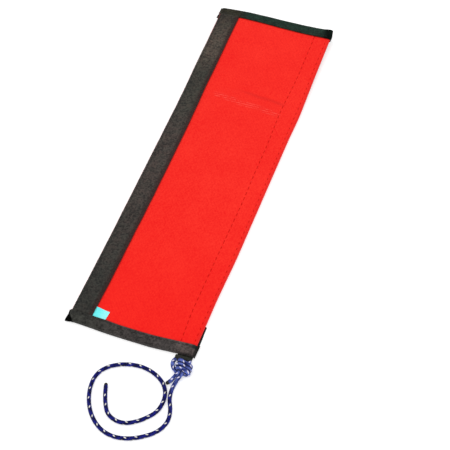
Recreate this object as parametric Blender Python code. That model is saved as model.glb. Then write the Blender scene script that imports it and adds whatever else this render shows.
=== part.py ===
"""Rope protector sleeve, opened flat.

A length of double-walled lay-flat hose whose raw ends are bound in tape.  A loop strip is
sewn along one long edge of the upper face and a hook strip along the other long edge
underneath, so the sleeve wraps round a rope and closes on itself.  A webbing tab at one
corner carries a knotted cord.

Units are metres, +Z is up.  X runs across the sleeve (the loop strip lies at -X, the hook
strip at +X), Y runs along it (the cord hangs from the -Y end), and the floor is z = 0.

The flexible body is divided at six fold lines that run along Y.  Each of the seven
stretches between them is made of its own solids, and each fold line is a hinge.
"""
import math

import bmesh
import bpy
from mathutils import Matrix, Vector

# ---------------------------------------------------------------- driving dimensions
SLEEVE_WIDTH = 0.1450        # lay-flat width of the hose, fold to fold
SLEEVE_LENGTH = 0.5000       # over the end tapes

# heights of the layers, bottom to top
TAPE_T = 0.0012              # end tape and hook strip thickness
CLEAR = 0.0003               # gap kept between pieces that touch
HOSE_Z0 = 0.0015             # underside of the hose
WALL_T = 0.0020              # one wall of the hose
HOSE_Z1 = HOSE_Z0 + 2 * WALL_T + CLEAR       # 0.0058, upper face of the hose
TOP_Z0 = HOSE_Z1 + CLEAR                     # 0.0061, underside of what is sewn on the face
TOP_Z1 = TOP_Z0 + TAPE_T                     # 0.0073, top of the end tape
LOOP_T = 0.0015                              # loop strip with its pile
THREAD_W, THREAD_H = 0.0007, 0.0003          # seam thread
GROOVE_W, GROOVE_D = 0.0013, 0.0006          # the dent that a seam pulls into tape or pile

# end tapes, folded over both faces of the hose
TAPE_LEG = 0.0135            # how far a tape comes in over the face
TAPE_PROUD = 0.0008          # how far a tape's ends stand past the hose's folds
TAPE_SEAM_IN = 0.0030        # seam, measured from the tape's inner edge

# strips
LOOP_W = 0.0250
LOOP_IN = 0.0004             # loop strip's inset from the left fold
HOOK_W = 0.0200
HOOK_IN = 0.0017             # hook strip's inset from the right fold
SEAM_IN = 0.0030             # the loop strip's seams, measured from its edges
HOOK_SEAMS_IN = (0.0014, 0.0025)             # the hook strip's inner and outer seam

# label
LABEL_SIZE = (0.0152, 0.0112, 0.0004)
LABEL_GAP = 0.0004

# cord tab
TAB_X0, TAB_X1 = 0.0540, 0.0712
TAB_T = 0.0011
TAB_EYE_Y, TAB_EYE_Z = -0.2542, 0.0033
TAB_EYE_RI, TAB_EYE_RO = 0.00245, 0.0032

# cord
CORD_D = 0.0040
CORD_STEP = 0.0080           # spacing of the tube's points

# fold lines: width of each stretch from the loop edge to the hook edge, and how far each
# fold closes when the sleeve is wrapped
STRETCH = (0.0414, 0.0138, 0.0170, 0.0188, 0.0190, 0.0129, 0.0221)
FOLD_DEG = (70.0, 56.0, 42.0, 42.0, 70.0, 80.0)
HINGE_Z = 0.0078
SPLIT = 0.0003               # gap between two stretches

BODY = ["loop_edge", "wrap_1", "wrap_2", "wrap_3", "wrap_4", "wrap_5", "hook_edge"]


# ---------------------------------------------------------------- helpers
def clear_scene():
    for ob in list(bpy.data.objects):
        bpy.data.objects.remove(ob, do_unlink=True)


def material(name, colour, roughness, metallic=0.0):
    mat = bpy.data.materials.get(name)
    if mat:
        return mat
    mat = bpy.data.materials.new(name)
    mat.use_nodes = True
    bsdf = mat.node_tree.nodes["Principled BSDF"]
    bsdf.inputs["Base Color"].default_value = (*colour, 1.0)
    bsdf.inputs["Roughness"].default_value = roughness
    bsdf.inputs["Metallic"].default_value = metallic
    mat.diffuse_color = (*colour, 1.0)
    return mat


def add(name, mesh, mat, pivot=(0.0, 0.0, 0.0), parent=None):
    """Link a mesh as an object whose origin is at pivot; the mesh is in world space."""
    mesh.transform(Matrix.Translation(-Vector(pivot)))
    mesh.materials.append(mat)
    ob = bpy.data.objects.new(name, mesh)
    bpy.context.scene.collection.objects.link(ob)
    if parent:
        ob.parent = parent
        ob.location = Vector(pivot) - parent.matrix_world.translation
    else:
        ob.location = pivot
    return ob


def mesh_from(bm, name):
    bmesh.ops.recalc_face_normals(bm, faces=bm.faces)
    me = bpy.data.meshes.new(name)
    bm.to_mesh(me)
    bm.free()
    return me


def box_mesh(name, x0, x1, y0, y1, z0, z1, boxes=None):
    """One box, or several separate ones."""
    bm = bmesh.new()
    for b in (boxes or [(x0, x1, y0, y1, z0, z1)]):
        size = Vector((b[1] - b[0], b[3] - b[2], b[5] - b[4]))
        mid = Vector((b[0] + b[1], b[2] + b[3], b[4] + b[5])) / 2
        bmesh.ops.create_cube(bm, size=1.0,
                              matrix=Matrix.Translation(mid) @ Matrix.Diagonal((*size, 1.0)))
    return mesh_from(bm, name)


def prism(name, outline, axis, a0, a1):
    """Extrude a closed outline of (u, z) points from a0 to a1 along X or Y."""
    bm = bmesh.new()

    def at(u, z, a):
        return (a, u, z) if axis == "X" else (u, a, z)

    ring0 = [bm.verts.new(at(u, z, a0)) for u, z in outline]
    face = bm.faces.new(ring0)
    out = bmesh.ops.extrude_face_region(bm, geom=[face])
    moved = [v for v in out["geom"] if isinstance(v, bmesh.types.BMVert)]
    step = Vector((a1 - a0, 0, 0)) if axis == "X" else Vector((0, a1 - a0, 0))
    bmesh.ops.translate(bm, verts=moved, vec=step)
    return mesh_from(bm, name)


def arc(cu, cz, r, deg0, deg1, n):
    return [(cu + r * math.cos(math.radians(deg0 + (deg1 - deg0) * i / n)),
             cz + r * math.sin(math.radians(deg0 + (deg1 - deg0) * i / n))) for i in range(n + 1)]


def smooth_route(points, step):
    """Points at even spacing along a centripetal curve through the route's own points."""
    pts = [Vector(p) for p in points]
    pts = [2 * pts[0] - pts[1]] + pts + [2 * pts[-1] - pts[-2]]
    fine = []
    for i in range(1, len(pts) - 2):
        p0, p1, p2, p3 = pts[i - 1:i + 3]
        t0 = 0.0
        t1 = t0 + (p1 - p0).length ** 0.5
        t2 = t1 + (p2 - p1).length ** 0.5
        t3 = t2 + (p3 - p2).length ** 0.5
        for k in range(24):
            t = t1 + (t2 - t1) * k / 24
            a1 = p0 * ((t1 - t) / (t1 - t0)) + p1 * ((t - t0) / (t1 - t0))
            a2 = p1 * ((t2 - t) / (t2 - t1)) + p2 * ((t - t1) / (t2 - t1))
            a3 = p2 * ((t3 - t) / (t3 - t2)) + p3 * ((t - t2) / (t3 - t2))
            b1 = a1 * ((t2 - t) / (t2 - t0)) + a2 * ((t - t0) / (t2 - t0))
            b2 = a2 * ((t3 - t) / (t3 - t1)) + a3 * ((t - t1) / (t3 - t1))
            fine.append(b1 * ((t2 - t) / (t2 - t1)) + b2 * ((t - t1) / (t2 - t1)))
    fine.append(pts[-2])
    run = [0.0]
    for a, b in zip(fine, fine[1:]):
        run.append(run[-1] + (b - a).length)
    count = max(2, round(run[-1] / step))
    out, j = [], 0
    for k in range(count + 1):
        s = run[-1] * k / count
        while j < len(run) - 2 and run[j + 1] < s:
            j += 1
        f = (s - run[j]) / max(run[j + 1] - run[j], 1e-9)
        out.append(fine[j].lerp(fine[j + 1], min(max(f, 0.0), 1.0)))
    return out


def tube(name, points, radius, mat, sides=2):
    """A cord's stretch: a curve object with a bevel and filled caps."""
    cu = bpy.data.curves.new(name, "CURVE")
    cu.dimensions = "3D"
    cu.bevel_depth = radius
    cu.bevel_resolution = sides
    cu.use_fill_caps = True
    sp = cu.splines.new("POLY")
    sp.points.add(len(points) - 1)
    for p, co in zip(sp.points, points):
        p.co = (*co, 1.0)
    cu.materials.append(mat)
    ob = bpy.data.objects.new(name, cu)
    bpy.context.scene.collection.objects.link(ob)
    return ob


# ---------------------------------------------------------------- materials
clear_scene()
RED = material("hose_red", (0.87, 0.035, 0.022), 0.62)
TAPE = material("tape_black", (0.040, 0.040, 0.036), 0.92)
PILE = material("loop_black", (0.036, 0.037, 0.033), 0.97)
HOOK = material("hook_black", (0.020, 0.020, 0.020), 0.70)
THREAD = material("thread_black", (0.015, 0.015, 0.015), 0.75)
SEAM_RED = material("thread_dark_red", (0.25, 0.008, 0.008), 0.75)
CYAN = material("label_cyan", (0.20, 0.87, 0.93), 0.55)
WEB = material("tab_webbing", (0.030, 0.032, 0.026), 0.88)
BLUE = material("cord_blue", (0.035, 0.05, 0.38), 0.70)
TIP = material("cord_tip_black", (0.010, 0.010, 0.012), 0.45)

half_w = SLEEVE_WIDTH / 2
half_l = SLEEVE_LENGTH / 2
web_in = half_l - TAPE_T                 # inner side of a tape's fold
hose_y = web_in - CLEAR                  # the hose stops just short of it
leg_y = half_l - TAPE_LEG                # a tape's inner edge
strip_y = leg_y - CLEAR                  # the strips stop just short of the tapes

edges = [-half_w]
for w in STRETCH[:-1]:
    edges.append(edges[-1] + w)
edges.append(half_w)
folds = edges[1:-1]                      # x of the six fold lines

# an empty on every fold line carries the stretch beyond it
parents = [None]
for i, x in enumerate(folds):
    em = bpy.data.objects.new("fold_%d_%s" % (i + 1, BODY[i + 1]), None)
    em["closes_deg"] = FOLD_DEG[i]
    bpy.context.scene.collection.objects.link(em)
    em.location = (x, 0.0, HINGE_Z)
    bpy.context.view_layer.update()
    if parents[-1]:
        em.parent = parents[-1]
        em.location = Vector((x, 0.0, HINGE_Z)) - parents[-1].matrix_world.translation
        bpy.context.view_layer.update()
    parents.append(em)


def put(i, name, mesh, mat):
    """A piece of stretch i, with its origin on the fold line that carries it."""
    pivot = (0, 0, 0) if i == 0 else (folds[i - 1], 0.0, HINGE_Z)
    return add(name, mesh, mat, pivot, parents[i])


def span(i, clear=SPLIT / 2):
    a = edges[i] + (clear if i > 0 else 0.0)
    b = edges[i + 1] - (clear if i < 6 else 0.0)
    return a, b


# ---------------------------------------------------------------- hose
mid_z = (HOSE_Z0 + HOSE_Z1) / 2
r_out = (HOSE_Z1 - HOSE_Z0) / 2
r_in = CLEAR / 2


def fold_outline(cut, fold, sign):
    """Section of a folded edge: the two walls and the rounded fold that joins them."""
    c = fold - sign * r_out
    if sign < 0:
        outer = arc(c, mid_z, r_out, 90, 270, 10)
        inner = arc(c, mid_z, r_in, 270, 90, 4)
    else:
        outer = arc(c, mid_z, r_out, 90, -90, 10)
        inner = arc(c, mid_z, r_in, -90, 90, 4)
    return ([(cut, mid_z + r_out)] + outer + [(cut, mid_z - r_out), (cut, mid_z - r_in)]
            + inner + [(cut, mid_z + r_in)])


put(0, "hose_fold_loop_side",
    prism("hose_fold_loop_side", fold_outline(span(0)[1], -half_w, -1), "Y", -hose_y, hose_y), RED)
put(6, "hose_fold_hook_side",
    prism("hose_fold_hook_side", fold_outline(span(6)[0], half_w, 1), "Y", -hose_y, hose_y), RED)
for i in range(1, 6):
    a, b = span(i)
    put(i, "hose_face_wall_%d" % i,
        box_mesh("face", a, b, -hose_y, hose_y, HOSE_Z1 - WALL_T, HOSE_Z1), RED)
    put(i, "hose_back_wall_%d" % i,
        box_mesh("back", a, b, -hose_y, hose_y, HOSE_Z0, HOSE_Z0 + WALL_T), RED)


# ---------------------------------------------------------------- end tapes
def tape_outline(end):
    """Section of a tape folded round the hose's end; end is -1 (near) or +1 (far)."""
    r = 0.0011
    out = [(leg_y, 0.0), (half_l - r, 0.0)]
    out += arc(half_l - r, r, r, -90, 0, 3)[1:]
    out += arc(half_l - r, TOP_Z1 - r, r, 0, 90, 3)
    y = leg_y + TAPE_SEAM_IN
    out += [(y + GROOVE_W / 2, TOP_Z1), (y + GROOVE_W / 2, TOP_Z1 - GROOVE_D),
            (y - GROOVE_W / 2, TOP_Z1 - GROOVE_D), (y - GROOVE_W / 2, TOP_Z1)]
    out += [(leg_y, TOP_Z1), (leg_y, TOP_Z0), (web_in, TOP_Z0), (web_in, TAPE_T), (leg_y, TAPE_T)]
    return [(end * y, z) for y, z in out]


def tape_seam(i, end):
    """The seam thread in the dent of a tape's upper leg."""
    a, b = span(i)
    y = end * (leg_y + TAPE_SEAM_IN)
    z = TOP_Z1 - GROOVE_D + CLEAR
    return box_mesh("seam", a, b, y - THREAD_W / 2, y + THREAD_W / 2, z, z + THREAD_H)


for i in range(7):
    a, b = span(i)
    if i == 0:
        a -= TAPE_PROUD
    if i == 6:
        b += TAPE_PROUD
    for end, word in ((-1, "near"), (1, "far")):
        name = "end_tape_%s_%d" % (word, i + 1)
        tape = put(i, name, prism(name, tape_outline(end), "X", a, b), TAPE)
        put(i, "tape_seam_%s_%d" % (word, i + 1), tape_seam(i, end), THREAD)
        if i == 6 and end < 0:
            # the tab is let into the underside of this tape
            cut = add("tab_recess", box_mesh("recess", TAB_X0 - CLEAR, TAB_X1 + CLEAR,
                                             -half_l - 0.002, -leg_y + 0.002, -0.002,
                                             HOSE_Z0), TAPE)
            cut.hide_render = True
            cut.display_type = "WIRE"
            mod = tape.modifiers.new("recess", "BOOLEAN")
            mod.operation = "DIFFERENCE"
            mod.solver = "EXACT"
            mod.object = cut

# ---------------------------------------------------------------- strips, seams and label
loop_x0 = -half_w + LOOP_IN
loop_x1 = loop_x0 + LOOP_W
loop_z1 = TOP_Z0 + LOOP_T
loop_seams = (loop_x0 + SEAM_IN, loop_x1 - SEAM_IN)
outline = [(loop_x0, TOP_Z0), (loop_x1, TOP_Z0), (loop_x1, loop_z1)]
for x in reversed(loop_seams):
    outline += [(x + GROOVE_W / 2, loop_z1), (x + GROOVE_W / 2, loop_z1 - GROOVE_D),
                (x - GROOVE_W / 2, loop_z1 - GROOVE_D), (x - GROOVE_W / 2, loop_z1)]
outline.append((loop_x0, loop_z1))
put(0, "loop_strip", prism("loop_strip", outline, "Y", -strip_y, strip_y), PILE)
for x, word in zip(loop_seams, ("outer", "inner")):
    z = loop_z1 - GROOVE_D + CLEAR
    put(0, "loop_seam_" + word,
        box_mesh("row", x - THREAD_W / 2, x + THREAD_W / 2, -strip_y, strip_y, z, z + THREAD_H),
        THREAD)
hook_x1 = half_w - HOOK_IN
hook_x0 = hook_x1 - HOOK_W
put(6, "hook_strip",
    box_mesh("hook", hook_x0, hook_x1, -strip_y, strip_y, 0.0, TAPE_T), HOOK)


def seam_row(x, z):
    """A row of the hook strip's stitching where it comes through on the face."""
    return box_mesh("row", x - THREAD_W / 2, x + THREAD_W / 2, -strip_y, strip_y,
                    z + 0.0002, z + 0.0002 + THREAD_H)


put(6, "hook_seam_inner", seam_row(hook_x0 + HOOK_SEAMS_IN[0], HOSE_Z1), SEAM_RED)
put(6, "hook_seam_outer", seam_row(hook_x1 - HOOK_SEAMS_IN[1], HOSE_Z1), SEAM_RED)

label_x0 = loop_x1 + LABEL_GAP
put(0, "label",
    box_mesh("label", label_x0, label_x0 + LABEL_SIZE[0], -strip_y, -strip_y + LABEL_SIZE[1],
             TOP_Z0, TOP_Z0 + LABEL_SIZE[2]), CYAN)

# ---------------------------------------------------------------- cord tab
# a flat stem under the hose, ending in an eye whose hole runs along X
stem_z0 = TAB_EYE_Z - TAB_EYE_RO
stem_z1 = stem_z0 + TAB_T
lift = math.degrees(math.asin((stem_z1 - TAB_EYE_Z) / TAB_EYE_RO))
tab_profile = [(-leg_y - 0.0004, stem_z0), (-leg_y - 0.0004, stem_z1)]
tab_profile += arc(TAB_EYE_Y, TAB_EYE_Z, TAB_EYE_RO, lift, 270, 20)
tab_mesh = prism("cord_tab", tab_profile, "X", TAB_X0, TAB_X1)
tab = put(6, "cord_tab", tab_mesh, WEB)
bm = bmesh.new()
bmesh.ops.create_cone(bm, cap_ends=True, segments=20, radius1=TAB_EYE_RI, radius2=TAB_EYE_RI,
                      depth=0.03,
                      matrix=Matrix.Translation(((TAB_X0 + TAB_X1) / 2, TAB_EYE_Y, TAB_EYE_Z))
                      @ Matrix.Rotation(math.radians(90), 4, "Y"))
hole = add("tab_hole", mesh_from(bm, "tab_hole"), WEB)
hole.hide_render = True
hole.display_type = "WIRE"
mod = tab.modifiers.new("hole", "BOOLEAN")
mod.operation = "DIFFERENCE"
mod.solver = "EXACT"
mod.object = hole

# ---------------------------------------------------------------- cord
rad = CORD_D / 2
# eye: from the knot's left flank, through the tab, and back into its right flank
EYE = [(0.0549, -0.2672, 0.0052), (0.0522, -0.2632, 0.0046), (0.0508, -0.2590, 0.0038),
       (0.0514, -0.2556, 0.0034), (0.0541, -0.2543, 0.0033), (0.0583, -0.2542, 0.0033),
       (0.0626, -0.2542, 0.0033), (0.0669, -0.2542, 0.0033), (0.0711, -0.2543, 0.0033),
       (0.0738, -0.2556, 0.0034), (0.0752, -0.2580, 0.0038), (0.0754, -0.2606, 0.0044)]
tube("cord_eye", smooth_route(EYE, 0.0024), rad, BLUE, 2)

# knot: one lump round the wraps of the cord
bm = bmesh.new()
bmesh.ops.create_uvsphere(bm, u_segments=20, v_segments=12, radius=1.0)
bmesh.ops.scale(bm, verts=bm.verts, vec=(0.0100, 0.0068, 0.0050))
bmesh.ops.translate(bm, verts=bm.verts, vec=(0.0673, -0.2672, 0.0056))
knot = add("cord_knot", mesh_from(bm, "cord_knot"), BLUE)
knot.data.shade_smooth()

# tail with its sealed tip
TAIL = [(0.0620, -0.2745, 0.0048), (0.0600, -0.2785, 0.0040), (0.0582, -0.2826, 0.0032)]
tube("cord_tail", smooth_route(TAIL, 0.0024), rad, BLUE, 2)
tube("cord_tail_tip", [Vector((0.05803, -0.28300, 0.0031)), Vector((0.05680, -0.28580, 0.0027))],
     rad, TIP, 2)

# long free end, laid on the floor in one open turn and a half
FLOOR_Z = 0.0022
ROUTE = [(0.0672, -0.2752, 0.0044), (0.0669, -0.2825, 0.0030), (0.0658, -0.2920, FLOOR_Z),
         (0.0669, -0.3045, FLOOR_Z), (0.0718, -0.3160, FLOOR_Z), (0.0738, -0.3270, FLOOR_Z),
         (0.0722, -0.3362, FLOOR_Z), (0.0665, -0.3456, FLOOR_Z), (0.0581, -0.3528, FLOOR_Z),
         (0.0490, -0.3582, FLOOR_Z), (0.0393, -0.3619, FLOOR_Z), (0.0277, -0.3633, FLOOR_Z),
         (0.0165, -0.3611, FLOOR_Z), (0.0064, -0.3556, FLOOR_Z), (-0.0027, -0.3471, FLOOR_Z),
         (-0.0093, -0.3377, FLOOR_Z), (-0.0145, -0.3263, FLOOR_Z), (-0.0173, -0.3145, FLOOR_Z),
         (-0.0176, -0.3042, FLOOR_Z), (-0.0145, -0.2943, FLOOR_Z), (-0.0077, -0.2865, FLOOR_Z),
         (0.0015, -0.2808, FLOOR_Z), (0.0118, -0.2774, FLOOR_Z), (0.0228, -0.2762, FLOOR_Z),
         (0.0345, -0.2779, FLOOR_Z), (0.0447, -0.2822, FLOOR_Z), (0.0535, -0.2890, FLOOR_Z),
         (0.0594, -0.2988, FLOOR_Z), (0.0612, -0.3106, FLOOR_Z), (0.0588, -0.3224, FLOOR_Z),
         (0.0519, -0.3320, FLOOR_Z), (0.0431, -0.3398, FLOOR_Z), (0.0330, -0.3449, FLOOR_Z),
         (0.0222, -0.3450, FLOOR_Z), (0.0121, -0.3398, FLOOR_Z), (0.0055, -0.3299, FLOOR_Z),
         (0.0005, -0.3184, FLOOR_Z), (-0.0024, -0.3098, FLOOR_Z)]
tube("cord", smooth_route(ROUTE, CORD_STEP), rad, BLUE, 2)
tube("cord_end_tip", [Vector((-0.00251, -0.30952, FLOOR_Z)), Vector((-0.00345, -0.30670, FLOOR_Z))],
     rad, TIP, 2)
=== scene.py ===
"""Looks for the rope protector sleeve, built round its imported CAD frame.

Metres throughout, in the CAD's own frame: X across the sleeve, Y along it, Z up.
The hose and its end tapes bend at six fold lines, so each is made as one continuous surface
and then divided halfway between the fold lines; every part blends across one fold.
"""
import math

import bpy
import numpy as np
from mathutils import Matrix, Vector, noise


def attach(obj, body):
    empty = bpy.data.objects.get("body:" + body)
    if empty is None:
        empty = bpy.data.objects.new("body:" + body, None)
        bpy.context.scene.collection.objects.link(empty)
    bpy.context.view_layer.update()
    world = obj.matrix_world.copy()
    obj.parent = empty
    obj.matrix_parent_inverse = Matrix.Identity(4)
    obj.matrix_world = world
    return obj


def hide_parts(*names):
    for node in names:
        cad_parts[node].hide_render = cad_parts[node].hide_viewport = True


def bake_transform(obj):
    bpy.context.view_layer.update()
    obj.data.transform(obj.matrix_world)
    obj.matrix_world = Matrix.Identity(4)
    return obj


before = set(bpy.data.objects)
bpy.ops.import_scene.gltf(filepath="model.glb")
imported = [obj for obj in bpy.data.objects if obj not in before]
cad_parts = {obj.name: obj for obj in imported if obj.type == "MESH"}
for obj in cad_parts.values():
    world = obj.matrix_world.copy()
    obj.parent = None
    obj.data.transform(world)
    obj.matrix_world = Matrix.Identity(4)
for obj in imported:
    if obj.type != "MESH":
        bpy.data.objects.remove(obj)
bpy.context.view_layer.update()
scene = bpy.context.scene

MM = 0.001

# ------------------------------------------------------------------ dimensions, as in the CAD
HALF_W, HALF_L = 0.0725, 0.2500
HOSE_Z0, HOSE_Z1 = 0.0015, 0.0058
HOSE_END = 0.2485
TAPE_T = 0.0012
TOP_Z0 = 0.0061
TOP_Z1 = 0.0073
LOOP_X0, LOOP_X1, LOOP_Z1 = -0.0721, -0.0471, 0.0076
HOOK_X0, HOOK_X1 = 0.0508, 0.0708
STRIP_END = 0.2362
LOOP_ROWS = (-0.0691, -0.0501)
CORD_R = 0.0020

# lines that divide the continuous surfaces, and the stretch over which each fold bends
CUTS = [-0.0242, -0.0088, 0.0091, 0.0280, 0.04395]


# ------------------------------------------------------------------ camera
def place_camera():
    az, el, roll = (math.radians(a) for a in (21.790, 51.524, -2.847))
    focal, dist = 1500.9, 1.6900
    target = Vector((0.04326, -0.06854, 0.0))
    back = Vector((math.sin(az) * math.cos(el), -math.cos(az) * math.cos(el), math.sin(el)))
    right = (-back).cross(Vector((0, 0, 1))).normalized()
    up = right.cross(-back)
    r2 = right * math.cos(roll) + up * math.sin(roll)
    u2 = up * math.cos(roll) - right * math.sin(roll)
    cam = bpy.data.cameras.new("photo_view")
    cam.sensor_width = 36.0
    cam.lens = focal * 36.0 / 450.0
    cam.clip_start, cam.clip_end = 0.05, 50.0
    ob = bpy.data.objects.new("photo_view", cam)
    scene.collection.objects.link(ob)
    rot = np.array([r2, u2, back]).T
    ob.rotation_mode = "QUATERNION"
    from mathutils import Matrix
    ob.rotation_quaternion = Matrix(rot.tolist()).to_quaternion()
    ob.location = target + back * dist
    scene.camera = ob
    return back, u2


TO_CAMERA, IMAGE_UP = place_camera()


# ------------------------------------------------------------------ small helpers
def smooth(t):
    t = min(max(t, 0.0), 1.0)
    return t * t * (3 - 2 * t)


def bump(d, width):
    return math.exp(-(d / width) ** 2)


def rand(i, k=0):
    """A steady number in 0..1 for item i."""
    v = math.sin(i * 12.9898 + k * 78.233) * 43758.5453
    return v - math.floor(v)


def n3(x, y, z=0.0):
    return noise.noise(Vector((x, y, z)))


# ------------------------------------------------------------------ the sleeve's own shape
CURL_Y, CURL_ROUND = 0.110, 0.030
CURL_LEFT, CURL_RIGHT = 0.0065, 0.0075
CREASE_A, CREASE_B = (-0.0333, 0.1150), (0.0434, 0.1060)
_cd = Vector((CREASE_B[0] - CREASE_A[0], CREASE_B[1] - CREASE_A[1]))
CREASE_LEN = _cd.length
CREASE_DIR = _cd.normalized()


def lift(x, y):
    """The far end stands up a little beyond the cross crease, more on the right."""
    t = y - CURL_Y
    if t < -CURL_ROUND:
        return 0.0
    r = t if t > CURL_ROUND else (t + CURL_ROUND) ** 2 / (4 * CURL_ROUND)
    share = (x + HALF_W) / (2 * HALF_W)
    return r / (HALF_L - CURL_Y) * (CURL_LEFT + (CURL_RIGHT - CURL_LEFT) * share)


def crease_uv(x, y):
    dx, dy = x - CREASE_A[0], y - CREASE_A[1]
    return dx * CREASE_DIR.x + dy * CREASE_DIR.y, -dx * CREASE_DIR.y + dy * CREASE_DIR.x


def wave(x, y):
    """Small rises of the upper surface; never below the nominal height by more than 0.3 mm."""
    w = 0.00022 * (1 + n3(x * 22, y * 13, 3.1)) * 0.5
    w += 0.00012 * n3(x * 60, y * 48, 7.7)
    u, v = crease_uv(x, y)
    along = smooth((u + 0.006) / 0.016) * smooth((CREASE_LEN + 0.008 - u) / 0.018)
    w += along * (0.00042 * bump(v, 0.0030) - 0.00050 * bump(v - 0.0150, 0.0050)
                  + 0.00012 * bump(v + 0.0085, 0.0040))
    edge = smooth((HALF_W - abs(x)) / 0.006)
    return w * edge


def seat(x, y):
    """How far anything on the upper surface is raised at (x, y)."""
    return lift(x, y) + wave(x, y)


def measured(*pairs):
    """A line through a few tape-measure readings in mm, with its corners rounded off."""
    at = [p[0] * MM for p in pairs]
    val = [p[1] * MM for p in pairs]

    def f(t):
        return float(np.mean(np.interp([t - 0.008, t - 0.004, t, t + 0.004, t + 0.008], at, val)))
    return f


# the sleeve is sewn by hand and lies a little out of square: how far each side and each end
# stands from the nominal outline
LEFT_SIDE = measured((-250, -0.5), (-215, -0.3), (-178, 0.1), (-124, 0.5), (92, 0.5),
                     (128, 0.0), (175, -0.3), (205, -0.8), (250, -0.8))
RIGHT_SIDE = measured((-250, -1.5), (-225, -1.5), (-205, -1.4), (-170, -1.4), (-142, -0.6),
                      (-115, 0.2), (74, 0.3), (108, 1.3), (135, 0.8), (170, 0.2), (250, -0.5))
NEAR_END = measured((-73, 4.0), (-51, 3.4), (-33, 1.7), (-15, 0.9), (3, 0.4), (21, 0.0),
                    (30, 0.1), (40, 0.8), (50, 1.5), (73, 2.6))
FAR_END = measured((-73, 0.2), (-58, 1.9), (-33, 2.6), (-15, 2.4), (3, 1.6), (30, 1.0),
                   (48, 1.1), (73, 2.2))
# where the strip's inner edge and the hook strip's two rows really run
LOOP_EDGE = measured((-250, -48.7), (-214, -48.6), (-196, -47.8), (-106, -47.4), (-88, -46.9),
                     (20, -46.8), (56, -47.1), (92, -48.1), (128, -48.8), (150, -48.2),
                     (200, -48.2), (235, -47.6))
ROW_IN = measured((-238, 53.3), (-214, 51.9), (-196, 51.0), (-106, 51.7), (-34, 52.9),
                  (5, 52.0), (50, 51.9), (74, 51.3), (108, 50.0), (128, 50.9), (150, 52.2),
                  (170, 53.0), (240, 52.6))
ROW_OUT = measured((-238, 67.5), (-200, 67.2), (-142, 68.5), (10, 69.0), (74, 68.5),
                   (128, 69.0), (182, 68.0), (240, 67.8))


def side_shift(x, y):
    share = (x + HALF_W) / (2 * HALF_W)
    return LEFT_SIDE(y) * (1 - share) + RIGHT_SIDE(y) * share


def end_shift(x, y):
    if y < 0:
        return NEAR_END(x) * smooth((-y - 0.185) / 0.045)
    return FAR_END(x) * smooth((y - 0.185) / 0.045)


_cache = {}


def sewn(p):
    """Moves a point of the nominal sleeve to where the real one has it."""
    x, y, z = p
    key = round(y, 5)
    if key not in _cache:
        _cache[key] = (LEFT_SIDE(y), RIGHT_SIDE(y))
    a, b = _cache[key]
    share = (x + HALF_W) / (2 * HALF_W)
    return (x + a * (1 - share) + b * share, y + end_shift(x, y), z)


def unsewn(x, y):
    """The nominal place of a real point."""
    u, v = x, y
    for _ in range(4):
        u, v = x - side_shift(u, v), y - end_shift(u, v)
    return u, v


HOOK_PITCH = 0.0082
HOOK_FIRST = -0.2392
ROWS = [lambda y: ROW_IN(y) - side_shift(0.0520, y), lambda y: ROW_OUT(y) - side_shift(0.0684, y)]
ROW_START = [HOOK_FIRST, HOOK_FIRST + 0.0031]
ROW_GAP = [0.0026, 0.0040]
_row_at = {}


def row_x(k, y):
    key = (k, round(y, 5))
    if key not in _row_at:
        _row_at[key] = ROWS[k](y)
    return _row_at[key]


def hook_dent(x, y):
    """The two rows that sew the hook strip on pull the face down, most at each needle hole."""
    if x < 0.047:
        return 0.0
    d = 0.0
    for k in (0, 1):
        dx = x - row_x(k, y)
        if abs(dx) > 0.004:
            continue
        d += 0.00018 * bump(dx, 0.0010)
        ph = (y - ROW_START[k]) / HOOK_PITCH
        dy = (ph - round(ph)) * HOOK_PITCH
        d += 0.00050 * bump(dx, 0.0009) * bump(dy, 0.0012)
    return d


# ------------------------------------------------------------------ mesh building
def new_object(name, verts, faces, mats, smooth_faces=True, rest=None, normals=None):
    me = bpy.data.meshes.new(name)
    me.from_pydata([tuple(v) for v in verts], [], faces)
    me.validate()
    for m in mats:
        me.materials.append(m)
    me.polygons.foreach_set("use_smooth", [smooth_faces] * len(me.polygons))
    at = me.attributes.new("rest", "FLOAT_VECTOR", "POINT")
    flat = np.array(rest if rest is not None else verts, np.float32).ravel()
    at.data.foreach_set("vector", flat)
    if normals is not None:
        me.normals_split_custom_set_from_vertices([tuple(n) for n in normals])
    me.update()
    ob = bpy.data.objects.new(name, me)
    scene.collection.objects.link(ob)
    return ob


def loop_normals(grid, closed_i=True, closed_j=False):
    """Normals of a grid of points [i][j] from its neighbours, pointing out of the section."""
    g = np.array(grid)
    if closed_i:
        di = np.roll(g, -1, 0) - np.roll(g, 1, 0)
    else:
        di = np.gradient(g, axis=0)
    dj = np.gradient(g, axis=1)
    n = np.cross(di, dj)
    ln = np.linalg.norm(n, axis=2, keepdims=True)
    return n / np.maximum(ln, 1e-12)


def skin(grid, normals, keep, name, mats, flip=False, rest=None):
    """A closed solid from the rows `keep` of a grid of section points, capped at both ends."""
    verts, nrm, index, flat = [], [], {}, []
    m = len(grid[0])
    for a, i in enumerate(keep):
        for j in range(m):
            index[a, j] = len(verts)
            verts.append(tuple(grid[i][j]))
            nrm.append(tuple(normals[i][j]))
            flat.append(tuple((rest or grid)[i][j]))
    faces = []
    n = len(keep)
    for a in range(n):
        b = (a + 1) % n
        for j in range(m - 1):
            f = [index[a, j], index[b, j], index[b, j + 1], index[a, j + 1]]
            faces.append(f[::-1] if flip else f)
    cap0 = [index[a, 0] for a in range(n)]
    cap1 = [index[a, m - 1] for a in range(n)]
    faces.append(cap0 if flip else cap0[::-1])
    faces.append(cap1[::-1] if flip else cap1)
    return new_object(name, verts, faces, mats, rest=flat, normals=nrm)


def sewn_grid(grid):
    return [[sewn(p) for p in line] for line in grid]


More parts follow.
